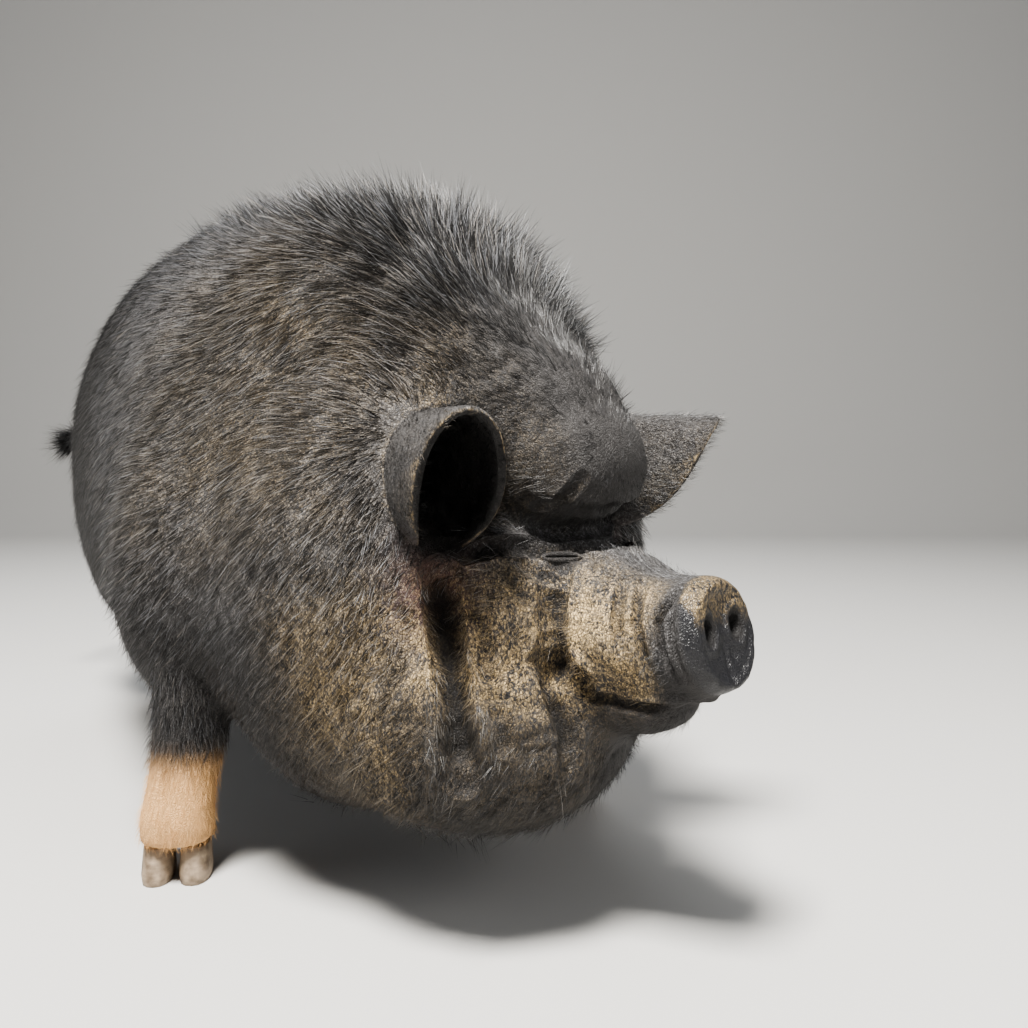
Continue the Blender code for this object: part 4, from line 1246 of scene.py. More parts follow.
def hair_tuft(name, dice, hairs, width, spread, stations, curl, fan):
    """A tuft of closed three-sided hairs, one unit long, that lie along +X and bend back down."""
    verts, faces = [], []
    along, shade = [], []
    for _ in range(hairs):
        tone = dice.random()
        yaw = dice.uniform(-fan, fan)
        pitch = dice.uniform(-0.02, 0.5 * fan)
        length = dice.uniform(0.60, 1.08)
        root = Vector((dice.uniform(-spread, spread), dice.uniform(-spread, spread), -0.03))
        heading = Vector((math.cos(yaw), math.sin(yaw), 0.0))
        across = Vector((-heading.y, heading.x, 0.0))
        start = len(verts)
        for t in stations:
            rise = length * (math.sin(pitch) * t - curl * t * t)
            middle = root + heading * length * t + Vector((0, 0, rise + curl * 0.5 * t))
            size = width * (1.0 - t) ** 0.6
            if t == 1.0:
                verts.append(middle)
                along.append(t)
                continue
            for corner in range(3):
                angle = math.tau * corner / 3 + math.pi / 2
                drop = Vector((0, 0, math.sin(angle) * size * 0.6))
                verts.append(middle + across * math.cos(angle) * size + drop)
                along.append(t)
        shade += [tone] * (len(verts) - start)
        faces.append((start + 2, start + 1, start))
        rings = len(stations) - 1
        for row in range(rings - 1):
            low, high = start + row * 3, start + row * 3 + 3
            for i in range(3):
                j = (i + 1) % 3
                faces.append((low + i, low + j, high + j))
                faces.append((low + i, high + j, high + i))
        last, tip = start + (rings - 1) * 3, len(verts) - 1
        faces += [(last + i, last + (i + 1) % 3, tip) for i in range(3)]
    mesh = bpy.data.meshes.new(name)
    mesh.from_pydata(verts, [], faces)
    store(mesh, "along", along)
    store(mesh, "shade", shade)
    layer = mesh.uv_layers.new(name="patch")
    for loop in mesh.loops:
        place = mesh.vertices[loop.vertex_index].co
        layer.uv[loop.index].vector = (min(max(place.x, 0.0), 1.0), 0.5 + min(max(place.y, -0.5), 0.5))
    return bpy.data.objects.new(name, mesh)


def tuft_family(name, seed, hairs, width, spread, stations, curl, fan, count=7):
    """A collection of unlike tufts that one coat piece is picked from."""
    dice = random.Random(seed)
    family = bpy.data.collections.new(name)
    for i in range(count):
        family.objects.link(hair_tuft(f"{name}_{i}", dice, hairs, width, spread, stations, curl, fan))
    return family


def named(tree, name, data_type="FLOAT"):
    """Reads a named attribute of the skin."""
    step = tree.nodes.new("GeometryNodeInputNamedAttribute")
    step.data_type = data_type
    step.inputs["Name"].default_value = name
    return step


def random_value(tree, low, high, seed, data_type="FLOAT"):
    step = tree.nodes.new("FunctionNodeRandomValue")
    step.data_type = data_type
    sockets = [s for s in step.inputs if s.enabled]
    sockets[0].default_value = low
    sockets[1].default_value = high
    step.inputs["Seed"].default_value = seed
    return next(s for s in step.outputs if s.enabled)


def sum_of(tree, operation, first, second):
    step = tree.nodes.new("ShaderNodeMath")
    step.operation = operation
    for socket, value in zip(step.inputs, (first, second)):
        if isinstance(value, (int, float)):
            socket.default_value = value
        else:
            tree.links.new(value, socket)
    return step.outputs[0]


def coat_tree():
    """Scatters tufts over the skin where a zone lets them grow and lays them along the coat."""
    tree = bpy.data.node_groups.new("coat", "GeometryNodeTree")
    face = tree.interface
    for name, kind in (
        ("Skin", "NodeSocketGeometry"),
        ("Zone", "NodeSocketString"),
        ("Tufts", "NodeSocketCollection"),
        ("Tufts per Square Metre", "NodeSocketFloat"),
        ("Length", "NodeSocketFloat"),
        ("Lift", "NodeSocketFloat"),
        ("Untidiness", "NodeSocketFloat"),
        ("Seed", "NodeSocketInt"),
        ("Material", "NodeSocketMaterial"),
    ):
        face.new_socket(name, in_out="INPUT", socket_type=kind)
    face.new_socket("Coat", in_out="OUTPUT", socket_type="NodeSocketGeometry")
    new, link = tree.nodes.new, tree.links.new
    given = new("NodeGroupInput").outputs
    zone = named(tree, "")
    link(given["Zone"], zone.inputs["Name"])
    scatter = new("GeometryNodeDistributePointsOnFaces")
    scatter.distribute_method = "RANDOM"
    link(given["Skin"], scatter.inputs["Mesh"])
    density = sum_of(tree, "MULTIPLY", zone.outputs["Attribute"], given["Tufts per Square Metre"])
    link(density, scatter.inputs["Density"])
    link(given["Seed"], scatter.inputs["Seed"])
    roots = new("GeometryNodeStoreNamedAttribute")
    roots.data_type = "FLOAT_VECTOR"
    roots.inputs["Name"].default_value = "root_place"
    link(scatter.outputs["Points"], roots.inputs["Geometry"])
    link(named(tree, "OFBake", "FLOAT_VECTOR").outputs["Attribute"], roots.inputs["Value"])
    tint = new("GeometryNodeStoreNamedAttribute")
    tint.data_type = "FLOAT"
    tint.inputs["Name"].default_value = "tint"
    link(roots.outputs["Geometry"], tint.inputs["Geometry"])
    link(random_value(tree, 0.0, 1.0, 11), tint.inputs["Value"])
    stand = new("FunctionNodeAlignRotationToVector")
    stand.axis = "Z"
    link(scatter.outputs["Normal"], stand.inputs["Vector"])
    comb = new("FunctionNodeAlignRotationToVector")
    comb.axis = "X"
    comb.pivot_axis = "Z"
    link(stand.outputs["Rotation"], comb.inputs["Rotation"])
    link(named(tree, "lie", "FLOAT_VECTOR").outputs["Attribute"], comb.inputs["Vector"])
    lift = sum_of(tree, "ADD", named(tree, "hair_lift").outputs["Attribute"], given["Lift"])
    loose = sum_of(tree, "MULTIPLY", random_value(tree, -0.35, 0.35, 5), given["Untidiness"])
    lift = sum_of(tree, "MULTIPLY", sum_of(tree, "ADD", lift, loose), -1.0)
    yaw = sum_of(tree, "MULTIPLY", random_value(tree, -0.55, 0.55, 6), given["Untidiness"])
    angles = new("ShaderNodeCombineXYZ")
    link(lift, angles.inputs["Y"])
    link(yaw, angles.inputs["Z"])
    turn = new("FunctionNodeRotateRotation")
    turn.rotation_space = "LOCAL"
    link(comb.outputs["Rotation"], turn.inputs["Rotation"])
    link(angles.outputs["Vector"], turn.inputs["Rotate By"])
    size = sum_of(tree, "MULTIPLY", named(tree, "hair_length").outputs["Attribute"], given["Length"])
    size = sum_of(tree, "MULTIPLY", size, random_value(tree, 0.78, 1.16, 7))
    family = new("GeometryNodeCollectionInfo")
    family.inputs["Separate Children"].default_value = True
    family.inputs["Reset Children"].default_value = True
    link(given["Tufts"], family.inputs["Collection"])
    plant = new("GeometryNodeInstanceOnPoints")
    plant.inputs["Pick Instance"].default_value = True
    link(tint.outputs["Geometry"], plant.inputs["Points"])
    link(family.outputs["Instances"], plant.inputs["Instance"])
    link(random_value(tree, 0, 6, 8, "INT"), plant.inputs["Instance Index"])
    link(turn.outputs["Rotation"], plant.inputs["Rotation"])
    link(size, plant.inputs["Scale"])
    real = new("GeometryNodeRealizeInstances")
    link(plant.outputs["Instances"], real.inputs["Geometry"])
    centre = new("ShaderNodeVectorMath")
    centre.operation = "SUBTRACT"
    centre.inputs[1].default_value = (0.5, 0.5, 0.0)
    link(named(tree, "patch", "FLOAT_VECTOR").outputs["Attribute"], centre.inputs[0])
    shrink = new("ShaderNodeVectorMath")
    shrink.operation = "SCALE"
    shrink.inputs["Scale"].default_value = 0.003
    link(centre.outputs["Vector"], shrink.inputs[0])
    spot = new("ShaderNodeVectorMath")
    spot.operation = "ADD"
    link(named(tree, "root_place", "FLOAT_VECTOR").outputs["Attribute"], spot.inputs[0])
    link(shrink.outputs["Vector"], spot.inputs[1])
    bake = new("GeometryNodeStoreNamedAttribute")
    bake.data_type = "FLOAT2"
    bake.domain = "CORNER"
    bake.inputs["Name"].default_value = "OFBake"
    link(real.outputs["Geometry"], bake.inputs["Geometry"])
    link(spot.outputs["Vector"], bake.inputs["Value"])
    paint = new("GeometryNodeSetMaterial")
    link(bake.outputs["Geometry"], paint.inputs["Geometry"])
    link(given["Material"], paint.inputs["Material"])
    link(paint.outputs["Geometry"], new("NodeGroupOutput").inputs["Coat"])
    return tree


KEPT_FIELDS = ("along", "shade", "tint", "tan", "sock", "ear", "fold", "dust", "OFBake")


def grow_coat(name, material, **sizes):
    """Runs the coat tree over the skin and keeps the result as one plain mesh."""
    skin = bpy.data.objects["pig_skin"]
    tree = bpy.data.node_groups.get("coat") or coat_tree()
    bed = bpy.data.objects.new(name + "_bed", skin.data)
    bpy.context.scene.collection.objects.link(bed)
    step = bed.modifiers.new("coat", "NODES")
    step.node_group = tree
    values = {"Material": material, **sizes}
    for socket in tree.interface.items_tree:
        if socket.in_out == "INPUT" and socket.name in values:
            step[socket.identifier] = values[socket.name]
    bpy.context.view_layer.update()
    depsgraph = bpy.context.evaluated_depsgraph_get()
    mesh = bpy.data.meshes.new_from_object(bed.evaluated_get(depsgraph), depsgraph=depsgraph)
    bed.modifiers.clear()
    bpy.data.objects.remove(bed, do_unlink=True)
    for layer in [a.name for a in mesh.attributes if not a.is_internal and not a.is_required]:
        if layer not in KEPT_FIELDS and layer not in ("position", "material_index", "sharp_face"):
            mesh.attributes.remove(mesh.attributes[layer])
    if len(mesh.polygons) == 0 or len(mesh.polygons) > 199000:
        raise RuntimeError(f"{name} has {len(mesh.polygons)} triangles")
    coat = bpy.data.objects.new(name, mesh)
    bpy.context.scene.collection.objects.link(coat)
    finish_piece(coat, material)
    return coat


def shader(name):
    """A new material, its tree, its shader and a helper that adds linked nodes."""
    material = bpy.data.materials.new(name)
    material.use_nodes = True
    tree = material.node_tree
    return material, tree, tree.nodes["Principled BSDF"]


def shader_node(tree, kind, inputs=None, **fields):
    step = tree.nodes.new(kind)
    for key, value in fields.items():
        setattr(step, key, value)
    for key, value in (inputs or {}).items():
        socket = step.inputs[key]
        if isinstance(value, bpy.types.NodeSocket):
            tree.links.new(value, socket)
        else:
            socket.default_value = value
    return step


def field(tree, name):
    return shader_node(tree, "ShaderNodeAttribute", attribute_name=name).outputs["Fac"]


def blend_colours(tree, factor, first, second):
    step = tree.nodes.new("ShaderNodeMix")
    step.data_type = "RGBA"
    for socket, value in ((step.inputs[0], factor), (step.inputs[6], first), (step.inputs[7], second)):
        if isinstance(value, bpy.types.NodeSocket):
            tree.links.new(value, socket)
        else:
            socket.default_value = value
    return step.outputs[2]


def ramp(tree, value, stops):
    step = shader_node(tree, "ShaderNodeValToRGB", {"Fac": value})
    band = step.color_ramp
    while len(band.elements) < len(stops):
        band.elements.new(0.5)
    for element, (place, grey) in zip(band.elements, stops):
        element.position = place
        element.color = (grey, grey, grey, 1.0)
    return step.outputs["Color"]


def marking_group():
    """Node group that lays dusty tan, with the painted highlight along the ear rims, and the pale socks over
    a base colour.
    """
    group = bpy.data.node_groups.new("markings", "ShaderNodeTree")
    for name in ("Base Color", "Dust and Rim Light Color", "Sock Color"):
        group.interface.new_socket(name, in_out="INPUT", socket_type="NodeSocketColor")
    group.interface.new_socket("Dust and Rim Light Strength", in_out="INPUT", socket_type="NodeSocketFloat")
    group.interface.new_socket("Color", in_out="OUTPUT", socket_type="NodeSocketColor")
    given = group.nodes.new("NodeGroupInput").outputs
    place = shader_node(group, "ShaderNodeTexCoord").outputs["Object"]
    patches = shader_node(
        group, "ShaderNodeTexNoise", {"Vector": place, "Scale": 26.0, "Detail": 4.0, "Roughness": 0.62}
    )
    uneven = ramp(group, patches.outputs["Fac"], ((0.30, 0.0), (0.72, 1.0)))
    dust = sum_of(group, "MULTIPLY", field(group, "tan"), given["Dust and Rim Light Strength"])
    uneven = sum_of(group, "ADD", sum_of(group, "MULTIPLY", uneven, 0.75), 0.25)
    dust = sum_of(group, "MULTIPLY", dust, uneven)
    colour = blend_colours(group, dust, given["Base Color"], given["Dust and Rim Light Color"])
    colour = blend_colours(group, field(group, "sock"), colour, given["Sock Color"])
    group.links.new(colour, group.nodes.new("NodeGroupOutput").inputs["Color"])
    return group


def marked(tree, base, dust, sock, strength):
    group = bpy.data.node_groups.get("markings") or marking_group()
    step = tree.nodes.new("ShaderNodeGroup")
    step.node_tree = group
    for key, value in (("Base Color", base), ("Dust and Rim Light Color", dust), ("Sock Color", sock)):
        if isinstance(value, bpy.types.NodeSocket):
            tree.links.new(value, step.inputs[key])
        else:
            step.inputs[key].default_value = (*value, 1.0)
    if isinstance(strength, bpy.types.NodeSocket):
        tree.links.new(strength, step.inputs["Dust and Rim Light Strength"])
    else:
        step.inputs["Dust and Rim Light Strength"].default_value = strength
    return step.outputs["Color"]


def skin_material(coat):
    """Black pebbled skin: dusty under the coat, painted near-black shade in the folds, nostrils and eye
    slits and inside the ears, moist on the disc.
    """
    material, tree, skin = shader("black skin")
    place = shader_node(tree, "ShaderNodeTexCoord").outputs["Object"]
    bare, fold = field(tree, "bare"), field(tree, "fold")
    wander = shader_node(tree, "ShaderNodeTexNoise", {"Vector": place, "Scale": 90.0, "Detail": 2.0})
    bent = shader_node(
        tree, "ShaderNodeVectorMath", {0: wander.outputs["Color"], 1: (0.006, 0.006, 0.006), 2: place},
        operation="MULTIPLY_ADD",
    )
    drawn = shader_node(
        tree, "ShaderNodeMapping", {"Vector": bent.outputs["Vector"], "Scale": (1.0, 1.0, 0.55)}
    )
    cells = {"Vector": drawn.outputs["Vector"], "Scale": 760.0}
    pebbles = shader_node(tree, "ShaderNodeTexVoronoi", cells)
    edges = shader_node(tree, "ShaderNodeTexVoronoi", cells, feature="DISTANCE_TO_EDGE")
    cracks = edges.outputs["Distance"]
    patches = shader_node(
        tree, "ShaderNodeTexNoise", {"Vector": place, "Scale": 30.0, "Detail": 5.0, "Roughness": 0.65}
    ).outputs["Fac"]
    fine = shader_node(
        tree, "ShaderNodeTexNoise", {"Vector": place, "Scale": 520.0, "Detail": 4.0, "Roughness": 0.6}
    ).outputs["Fac"]
    split = shader_node(tree, "ShaderNodeSeparateColor", {"Color": pebbles.outputs["Color"]})
    pebble = split.outputs["Red"]
    mixed = sum_of(tree, "MULTIPLY", pebble, 0.40)
    mixed = sum_of(tree, "ADD", mixed, sum_of(tree, "MULTIPLY", patches, 0.50))
    mixed = sum_of(tree, "ADD", mixed, sum_of(tree, "MULTIPLY", fine, 0.50))
    flecks = ramp(tree, mixed, ((0.52, 0.0), (0.80, 1.0)))
    open_skin = ramp(tree, cracks, ((0.02, 0.0), (0.22, 1.0)))
    part_open = sum_of(tree, "ADD", sum_of(tree, "MULTIPLY", open_skin, 0.75), 0.25)
    flecks = sum_of(tree, "MULTIPLY", flecks, part_open)
    grain = ramp(tree, fine, ((0.38, 0.0), (0.64, 1.0)))
    speckle = sum_of(tree, "ADD", sum_of(tree, "MULTIPLY", pebble, 0.8), 0.5)
    grain = sum_of(tree, "MULTIPLY", grain, speckle)
    # The dust field carries painted shade: it is lowered where shade falls.
    grey = sum_of(tree, "MULTIPLY", field(tree, "dust"), sum_of(tree, "MULTIPLY", grain, part_open))
    base = blend_colours(tree, grey, (*coat.skin_colour, 1), (*coat.dust_colour, 1))
    flush = sum_of(tree, "MULTIPLY", field(tree, "red"), 0.55)
    base = blend_colours(tree, flush, base, (0.13, 0.052, 0.040, 1))
    base = blend_colours(tree, bare, base, (0.009, 0.009, 0.011, 1))
    colour = marked(tree, base, coat.tan_and_rim_light_colour, coat.sock_colour, flecks)
    # Painted shade: folds, nostrils and eye slits are blended to near black.
    dark = sum_of(tree, "MULTIPLY", fold, 0.92)
    colour = blend_colours(tree, dark, colour, (0.006, 0.005, 0.005, 1))
    # Painted shadow inside the ears.
    ear_shade = sum_of(tree, "MULTIPLY", field(tree, "ear"), 0.9)
    colour = blend_colours(tree, ear_shade, colour, (0.010, 0.009, 0.009, 1))
    tree.links.new(colour, skin.inputs["Base Color"])
    moist = sum_of(tree, "MULTIPLY", bare, sum_of(tree, "SUBTRACT", 1.0, fold))
    wet = blend_colours(tree, moist, (0.72, 0.72, 0.72, 1), (0.40, 0.40, 0.40, 1))
    tree.links.new(wet, skin.inputs["Roughness"])
    height = sum_of(tree, "MULTIPLY", open_skin, 0.5)
    height = sum_of(tree, "ADD", height, sum_of(tree, "MULTIPLY", fine, 0.8))
    calm = sum_of(tree, "SUBTRACT", 1.0, sum_of(tree, "MULTIPLY", bare, 0.45))
    height = sum_of(tree, "MULTIPLY", height, calm)
    bump = shader_node(tree, "ShaderNodeBump", {"Strength": 0.85, "Distance": 0.0011, "Height": height})
    tree.links.new(bump.outputs["Normal"], skin.inputs["Normal"])
    return material


def hair_material(name, root, tip, tan_tip_and_rim_light, dust_and_rim_light_strength, sock, pale_from=0.62):
    """Bristles that run from a dark root to tips of black, grey and tan; the grey tips are partly the coat's
    grizzle and partly painted sheen, and painted shade darkens folds and the insides of the ears.
    """
    material, tree, hair = shader(name)
    along, shade, tint = (field(tree, word) for word in ("along", "shade", "tint"))
    # Grey tips: partly the coat's grizzle, partly painted sheen.
    pale = ramp(tree, shade, ((pale_from, 0.0), (pale_from + 0.28, 1.0)))
    grizzle_and_sheen = sum_of(tree, "MULTIPLY", pale, ramp(tree, along, ((0.05, 0.0), (0.80, 1.0))))
    # Fewer grey tips where the dust field is low, which includes its painted shade.
    dusty_and_shaded = sum_of(tree, "ADD", sum_of(tree, "MULTIPLY", field(tree, "dust"), 1.1), 0.12)
    grizzle_and_sheen = sum_of(tree, "MULTIPLY", grizzle_and_sheen, dusty_and_shaded)
    warm = ramp(tree, tint, ((0.45, 0.0), (0.95, 1.0)))
    tip_and_sheen_colour = blend_colours(tree, sum_of(tree, "MULTIPLY", warm, 0.22), (*tip, 1), (*tan_tip_and_rim_light, 1))
    base = blend_colours(tree, grizzle_and_sheen, (*root, 1), tip_and_sheen_colour)
    strength = sum_of(tree, "MULTIPLY", ramp(tree, shade, ((0.30, 0.0), (0.80, 1.0))), dust_and_rim_light_strength)
    colour = marked(tree, base, tan_tip_and_rim_light, sock, strength)
    # Painted shade: bristles in folds, nostrils, eye slits and inside the ears are blended to near black.
    shaded = sum_of(tree, "MAXIMUM", field(tree, "ear"), sum_of(tree, "MULTIPLY", field(tree, "fold"), 0.9))
    colour = blend_colours(tree, shaded, colour, (0.004, 0.004, 0.004, 1))
    tree.links.new(colour, hair.inputs["Base Color"])
    hair.inputs["Roughness"].default_value = 0.42
    hair.inputs["Specular IOR Level"].default_value = 0.32
    return material


def horn_material(colour):
    """Dull hoof horn with growth lines and earth rubbed into its foot."""
    material, tree, horn = shader("hoof horn")
    place = shader_node(tree, "ShaderNodeTexCoord").outputs["Object"]
    flat = shader_node(tree, "ShaderNodeMapping", {"Vector": place, "Scale": (6.0, 6.0, 160.0)})
    lines = shader_node(
        tree, "ShaderNodeTexNoise", {"Vector": flat.outputs["Vector"], "Scale": 3.0, "Detail": 3.0}
    )
    worn = shader_node(tree, "ShaderNodeTexNoise", {"Vector": place, "Scale": 90.0, "Detail": 4.0})
    base = blend_colours(tree, lines.outputs["Fac"], (*colour, 1), tuple(0.55 * c for c in colour) + (1,))
    earth = ramp(tree, worn.outputs["Fac"], ((0.45, 0), (0.7, 1)))
    base = blend_colours(tree, earth, base, (0.10, 0.07, 0.045, 1))
    tree.links.new(base, horn.inputs["Base Color"])
    horn.inputs["Roughness"].default_value = 0.62
    bump = shader_node(
        tree, "ShaderNodeBump", {"Strength": 0.5, "Distance": 0.0006, "Height": lines.outputs["Fac"]}
    )
    tree.links.new(bump.outputs["Normal"], horn.inputs["Normal"])
    return material


def eye_material():
    """A wet dark brown eye."""
    material, tree, eye = shader("wet eye")
    place = shader_node(tree, "ShaderNodeTexCoord").outputs["Object"]
    flecks = shader_node(tree, "ShaderNodeTexNoise", {"Vector": place, "Scale": 700.0, "Detail": 2.0})
    base = blend_colours(tree, flecks.outputs["Fac"], (0.006, 0.004, 0.003, 1), (0.020, 0.010, 0.006, 1))
    tree.links.new(base, eye.inputs["Base Color"])
    eye.inputs["Roughness"].default_value = 0.12
    return material


def eye_ball(name, eye, collection, radius):
    place, _, _, outward = eye
    bm = bmesh.new()
    bmesh.ops.create_uvsphere(bm, u_segments=32, v_segments=20, radius=radius)
    centre = place - outward * (EYE_RADIUS - 0.0006)
    bmesh.ops.translate(bm, vec=centre, verts=bm.verts)
    return object_from_bmesh(name, bm, collection)


class BodySettings(bpy.types.PropertyGroup):
    """Sizes of the skin."""

    skin_detail: bpy.props.FloatProperty(
        name="Skin Detail", description="Edge length of the skin's mesh", default=0.0036, min=0.003,
        unit="LENGTH",
    )
    wrinkle_depth: bpy.props.FloatProperty(
        name="Wrinkle Depth", description="Depth of the loose wrinkles on neck and cheeks",
        default=0.0022, unit="LENGTH",
    )
    coat_depth: bpy.props.FloatProperty(
        name="Coat Depth", description="How far the skin lies under the tips of the short coat",
        default=0.0065, unit="LENGTH",
    )


class CoatSettings(bpy.types.PropertyGroup):
    """Colours and cover of the bristles."""

    skin_colour: bpy.props.FloatVectorProperty(
        name="Skin Colour", description="Colour of the black skin", subtype="COLOR", size=3,
        default=(0.020, 0.018, 0.0175),
    )
    root_colour: bpy.props.FloatVectorProperty(
        name="Bristle Colour", description="Colour of the bristles at their roots", subtype="COLOR",
        size=3, default=(0.007, 0.0065, 0.0065),
    )
    dust_colour: bpy.props.FloatVectorProperty(
        name="Dust Colour", description="Colour of the dust on the body's skin", subtype="COLOR", size=3,
        default=(0.158, 0.155, 0.158),
    )
    # Grey tips: partly the coat's grizzle, partly painted sheen and sky reflection.
    tip_and_sheen_colour: bpy.props.FloatVectorProperty(
        name="Grey Tip Colour", description="Colour of the pale bristles' tips", subtype="COLOR",
        size=3, default=(0.33, 0.34, 0.365),
    )
    # The tan colour also paints the highlight along the ear rims.
    tan_and_rim_light_colour: bpy.props.FloatVectorProperty(
        name="Tan Tip Colour", description="Colour of the warm bristles' tips", subtype="COLOR",
        size=3, default=(0.76, 0.55, 0.27),
    )
    sock_colour: bpy.props.FloatVectorProperty(
        name="Sock Colour", description="Colour of the pale lower legs", subtype="COLOR", size=3,
        default=(0.60, 0.36, 0.165),
    )
    horn_colour: bpy.props.FloatVectorProperty(
        name="Horn Colour", description="Colour of the hooves", subtype="COLOR", size=3,
        default=(0.36, 0.28, 0.20),
    )
    cover: bpy.props.FloatProperty(
        name="Cover", description="Share of the full number of tufts", default=1.0, min=0.05, max=1.0,
        subtype="FACTOR",
    )
    crest_length: bpy.props.FloatProperty(
        name="Crest Length", description="Length of the crest's bristles beside the coat's", default=1.85,
        min=0.5, max=3.0,
    )


class StageSettings(bpy.types.PropertyGroup):
    """Floor, light and camera."""

    floor_colour: bpy.props.FloatVectorProperty(
        name="Floor Colour", description="Colour of the floor and backdrop", subtype="COLOR", size=3,
        default=(0.46, 0.455, 0.445),
    )
    key_power: bpy.props.FloatProperty(
        name="Key Light", description="Power of the large light overhead", default=245.0, unit="POWER"
    )
    camera_place: bpy.props.FloatVectorProperty(
        name="Camera Place", description="Where the camera stands beside the pig's shoulders",
        default=(-0.330, -0.903, 0.333), subtype="TRANSLATION", unit="LENGTH",
    )
    camera_turn: bpy.props.FloatVectorProperty(
        name="Camera Turn", description="Turn of the camera", subtype="EULER",
        default=(math.radians(86), 0.0, math.radians(-30)),
    )
    lens: bpy.props.FloatProperty(
        name="Lens", description="Focal length on a 36 mm wide sensor", default=34.56, unit="CAMERA"
    )


class PIG_OT_skin(bpy.types.Operator):
    """Models the skin of the whole pig and its two eyes"""

    bl_idname = "pig.skin"
    bl_label = "Skin and Eyes"

    def execute(self, context):
        body, coat, _ = settings()
        PLACE[:] = frame_place()
        skin, eyes, work = build_skin(body)
        skin.name = "pig_skin"
        finish_piece(skin, skin_material(coat), FLESH)
        wet = eye_material()
        for word, eye in zip(("right", "left"), eyes):
            ball = eye_ball("eyeball_" + word, eye, work, EYE_RADIUS)
            ball.data.transform(Matrix.Translation(PLACE))
            ball.data.shade_smooth()
            finish_piece(ball, wet, ["eye_" + word])
        return {"FINISHED"}


class PIG_OT_hooves(bpy.types.Operator):
    """Models the sixteen claws and dewclaws"""

    bl_idname = "pig.hooves"
    bl_label = "Hooves"

    def execute(self, context):
        _, coat, _ = settings()
        horn = horn_material(coat.horn_colour)
        layer = context.scene.collection
        for name, foot, turn, _ in feet():
            for side, word in ((-1, "first"), (1, "second")):
                for kind, make in (("claw", claw), ("dewclaw", dewclaw)):
                    node = f"{kind}_{name}_{word}"
                    hoof = make("hoof_" + node, foot, turn, side, layer)
                    bevel = hoof.modifiers.new("edge", "BEVEL")
                    bevel.width = 0.0009
                    bevel.segments = 2
                    bake_modifiers(hoof)
                    hoof.data.shade_smooth()
                    hoof.data.transform(Matrix.Translation(PLACE))
                    finish_piece(hoof, horn, [node])
        return {"FINISHED"}


class PIG_OT_short_coat(bpy.types.Operator):
    """Grows the flat short coat of the torso, neck, face, ears, legs and tail"""

    bl_idname = "pig.short_coat"
    bl_label = "Short Coat"

    def execute(self, context):
        _, coat, _ = settings()
        fur = hair_material("short bristles", coat.root_colour, coat.tip_and_sheen_colour, coat.tan_and_rim_light_colour, 0.35,
                            coat.sock_colour)
        flat = tuft_family("flat_tuft", 3, 4, 0.0118, 0.45, (0.0, 1.0), 0.0, 0.13)
        fuzz = tuft_family("fuzz_tuft", 4, 4, 0.0150, 0.50, (0.0, 1.0), 0.0, 0.20)
        for zone, family, per_area, length, lift, mess, seed in (
            ("torso_right", flat, 25000, 1.12, 0.0, 0.36, 21),
            ("torso_left", flat, 25000, 1.12, 0.0, 0.36, 22),
            ("neck_right", flat, 52000, 1.12, 0.0, 0.36, 23),
            ("neck_left", flat, 52000, 1.12, 0.0, 0.36, 24),
            ("face", fuzz, 64000, 1.0, 0.0, 0.7, 25),
            ("limbs", fuzz, 72000, 1.0, 0.0, 0.7, 26),
        ):
            grow_coat("coat_" + zone, fur, **{
                "Zone": zone, "Tufts": family, "Tufts per Square Metre": per_area * coat.cover,
                "Length": length, "Lift": lift, "Untidiness": mess, "Seed": seed,
            })
        return {"FINISHED"}


class PIG_OT_long_bristles(bpy.types.Operator):
    """Grows the crest, the long outer bristles, the fringe of the folds, chin hairs and tassel"""

    bl_idname = "pig.long_bristles"
    bl_label = "Crest and Long Bristles"

    def execute(self, context):
        _, coat, _ = settings()
        long_hair = hair_material("long bristles", coat.root_colour, coat.tip_and_sheen_colour, coat.tan_and_rim_light_colour,
                                  0.3, coat.sock_colour, 0.66)
        whisker = hair_material("whiskers", (0.03, 0.028, 0.026), (0.42, 0.40, 0.36), coat.tan_and_rim_light_colour,
                                0.0, coat.sock_colour, 0.25)
        crest = tuft_family("crest_tuft", 5, 7, 0.0058, 0.14, (0.0, 0.5, 1.0), 0.10, 0.16)
        sparse = tuft_family("long_tuft", 6, 4, 0.0068, 0.20, (0.0, 0.5, 1.0), 0.08, 0.20)
        stiff = tuft_family("whisker_tuft", 9, 2, 0.0034, 0.25, (0.0, 0.5, 1.0), 0.08, 0.25)
        for name, family, material, per_area, length, lift, mess, seed in (
            ("crest", crest, long_hair, 24000, coat.crest_length, 0.40, 0.7, 31),
            ("guard", sparse, long_hair, 9000, 1.60, 0.06, 0.6, 32),
            ("fringe", sparse, long_hair, 9000, 0.65, 0.03, 0.8, 33),
            ("chin", stiff, whisker, 14000, 2.2, 0.30, 1.2, 34),
            ("tassel", crest, long_hair, 250000, 3.6, 0.12, 1.3, 35),
        ):
            grow_coat("bristles_" + name, material, **{
                "Zone": name, "Tufts": family, "Tufts per Square Metre": per_area * coat.cover,
                "Length": length, "Lift": lift, "Untidiness": mess, "Seed": seed,
            })
        return {"FINISHED"}


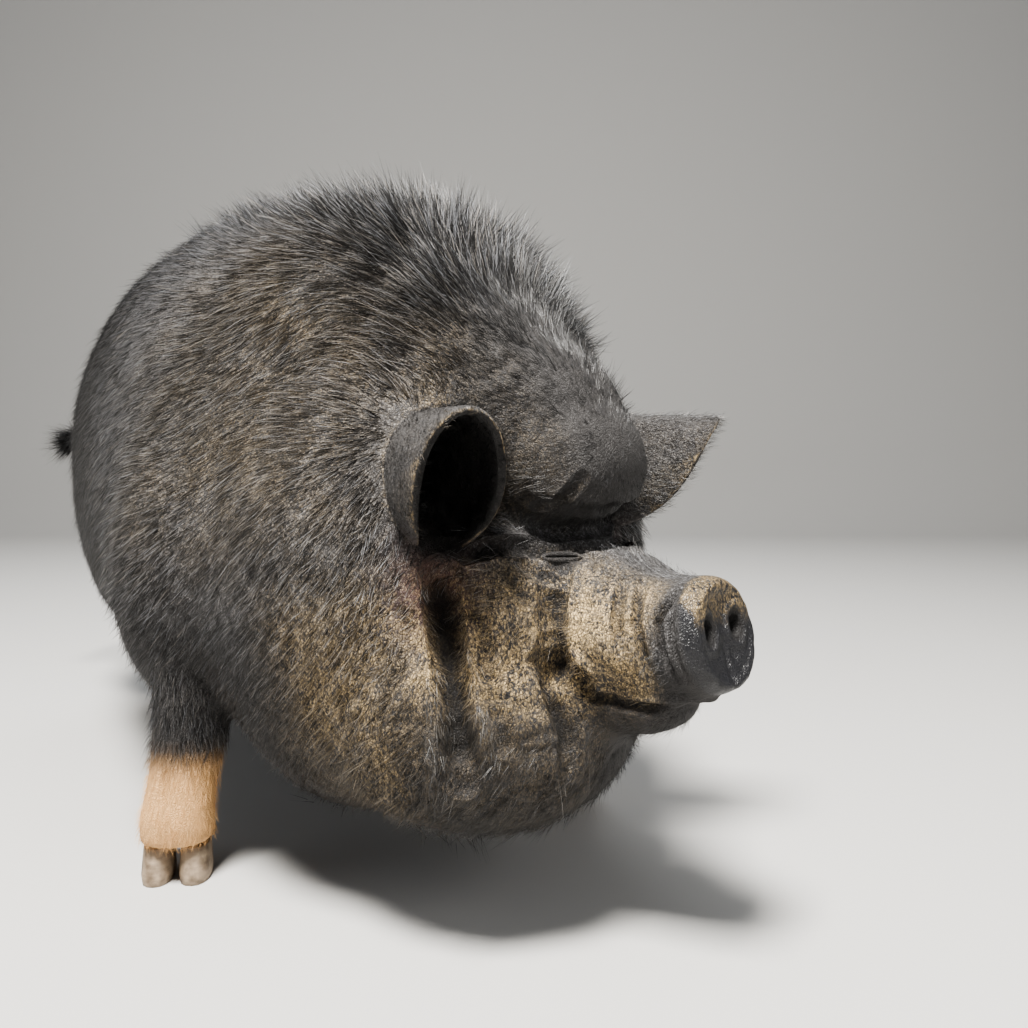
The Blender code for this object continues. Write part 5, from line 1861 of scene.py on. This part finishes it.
class PIG_OT_stage(bpy.types.Operator):
    """Sets up the pale floor with its backdrop, the soft lights and the camera"""

    bl_idname = "pig.stage"
    bl_label = "Stage"

    def execute(self, context):
        _, _, stage = settings()
        scene = context.scene
        bm = bmesh.new()
        rows = [(-4.0, 0.0), (2.6, 0.0)]
        bends = np.linspace(0.1, math.pi / 2, 12)
        rows += [(2.6 + 1.2 * math.sin(bend), 1.2 - 1.2 * math.cos(bend)) for bend in bends]
        rows.append((3.8, 5.0))
        turn = Matrix.Rotation(stage.camera_turn[2], 4, "Z")
        lines = [[bm.verts.new(turn @ Vector((x, y, z))) for x in (-6.0, 6.0)] for y, z in rows]
        for low, high in zip(lines, lines[1:]):
            bm.faces.new((low[0], low[1], high[1], high[0]))
        floor = object_from_bmesh("studio_floor", bm, scene.collection)
        floor.data.shade_smooth()
        material, tree, plain = shader("pale floor")
        plain.inputs["Base Color"].default_value = (*stage.floor_colour, 1)
        plain.inputs["Roughness"].default_value = 0.85
        floor.data.materials.append(material)
        scene.world = bpy.data.worlds.new("soft light")
        scene.world.use_nodes = True
        sky = scene.world.node_tree.nodes["Background"]
        sky.inputs["Color"].default_value = (0.93, 0.96, 1.0, 1.0)
        sky.inputs["Strength"].default_value = 0.24
        for name, place, size, power, colour in (
            ("key", (-0.75, -0.95, 2.4), 0.6, 1.0, (1.0, 0.97, 0.92)),
            ("side", (-2.0, 0.6, 1.2), 1.4, 0.025, (0.95, 0.97, 1.0)),
            ("front", (0.9, -2.0, 1.1), 1.2, 0.05, (1.0, 0.98, 0.95)),
            ("back", (0.8, 1.6, 1.9), 1.2, 0.10, (0.95, 0.98, 1.0)),
        ):
            light = bpy.data.lights.new(name, "AREA")
            light.size = size
            light.energy = stage.key_power * power
            light.color = colour
            lamp = bpy.data.objects.new(name, light)
            lamp.location = place
            aim = Vector((0, -0.1, 0.25)) - lamp.location
            lamp.rotation_euler = aim.to_track_quat("-Z", "Y").to_euler()
            scene.collection.objects.link(lamp)
        data = bpy.data.cameras.new("photo_view")
        data.sensor_width = 36.0
        data.lens = stage.lens
        data.clip_start = 0.01
        camera = bpy.data.objects.new("photo_view", data)
        camera.location = Vector(stage.camera_place) + PLACE
        camera.rotation_euler = stage.camera_turn
        scene.collection.objects.link(camera)
        scene.camera = camera
        scene.view_settings.view_transform = "AgX"
        scene.view_settings.look = "AgX - Medium High Contrast"
        return {"FINISHED"}


OPERATORS = (PIG_OT_skin, PIG_OT_hooves, PIG_OT_short_coat, PIG_OT_long_bristles, PIG_OT_stage)


class PIG_PT_panel(bpy.types.Panel):
    """Lists the pig's pieces and their settings"""

    bl_idname = "PIG_PT_panel"
    bl_label = "Pot-bellied Pig"
    bl_space_type = "VIEW_3D"
    bl_region_type = "UI"
    bl_category = "Pig"

    def draw(self, context):
        for group in settings():
            box = self.layout.box()
            for name in group.__annotations__:
                box.prop(group, name)
        for operator in OPERATORS:
            self.layout.operator(operator.bl_idname)


CLASSES = (BodySettings, CoatSettings, StageSettings, *OPERATORS, PIG_PT_panel)


def register():
    for cls in CLASSES:
        bpy.utils.register_class(cls)
    bpy.types.Scene.pig_body = bpy.props.PointerProperty(type=BodySettings)
    bpy.types.Scene.pig_coat = bpy.props.PointerProperty(type=CoatSettings)
    bpy.types.Scene.pig_stage = bpy.props.PointerProperty(type=StageSettings)


def unregister():
    for name in ("pig_body", "pig_coat", "pig_stage"):
        delattr(bpy.types.Scene, name)
    for cls in reversed(CLASSES):
        bpy.utils.unregister_class(cls)


def main():
    register()
    bpy.ops.pig.skin()
    bpy.ops.pig.hooves()
    bpy.ops.pig.short_coat()
    bpy.ops.pig.long_bristles()
    bpy.ops.pig.stage()


if __name__ == "__main__":
    main()
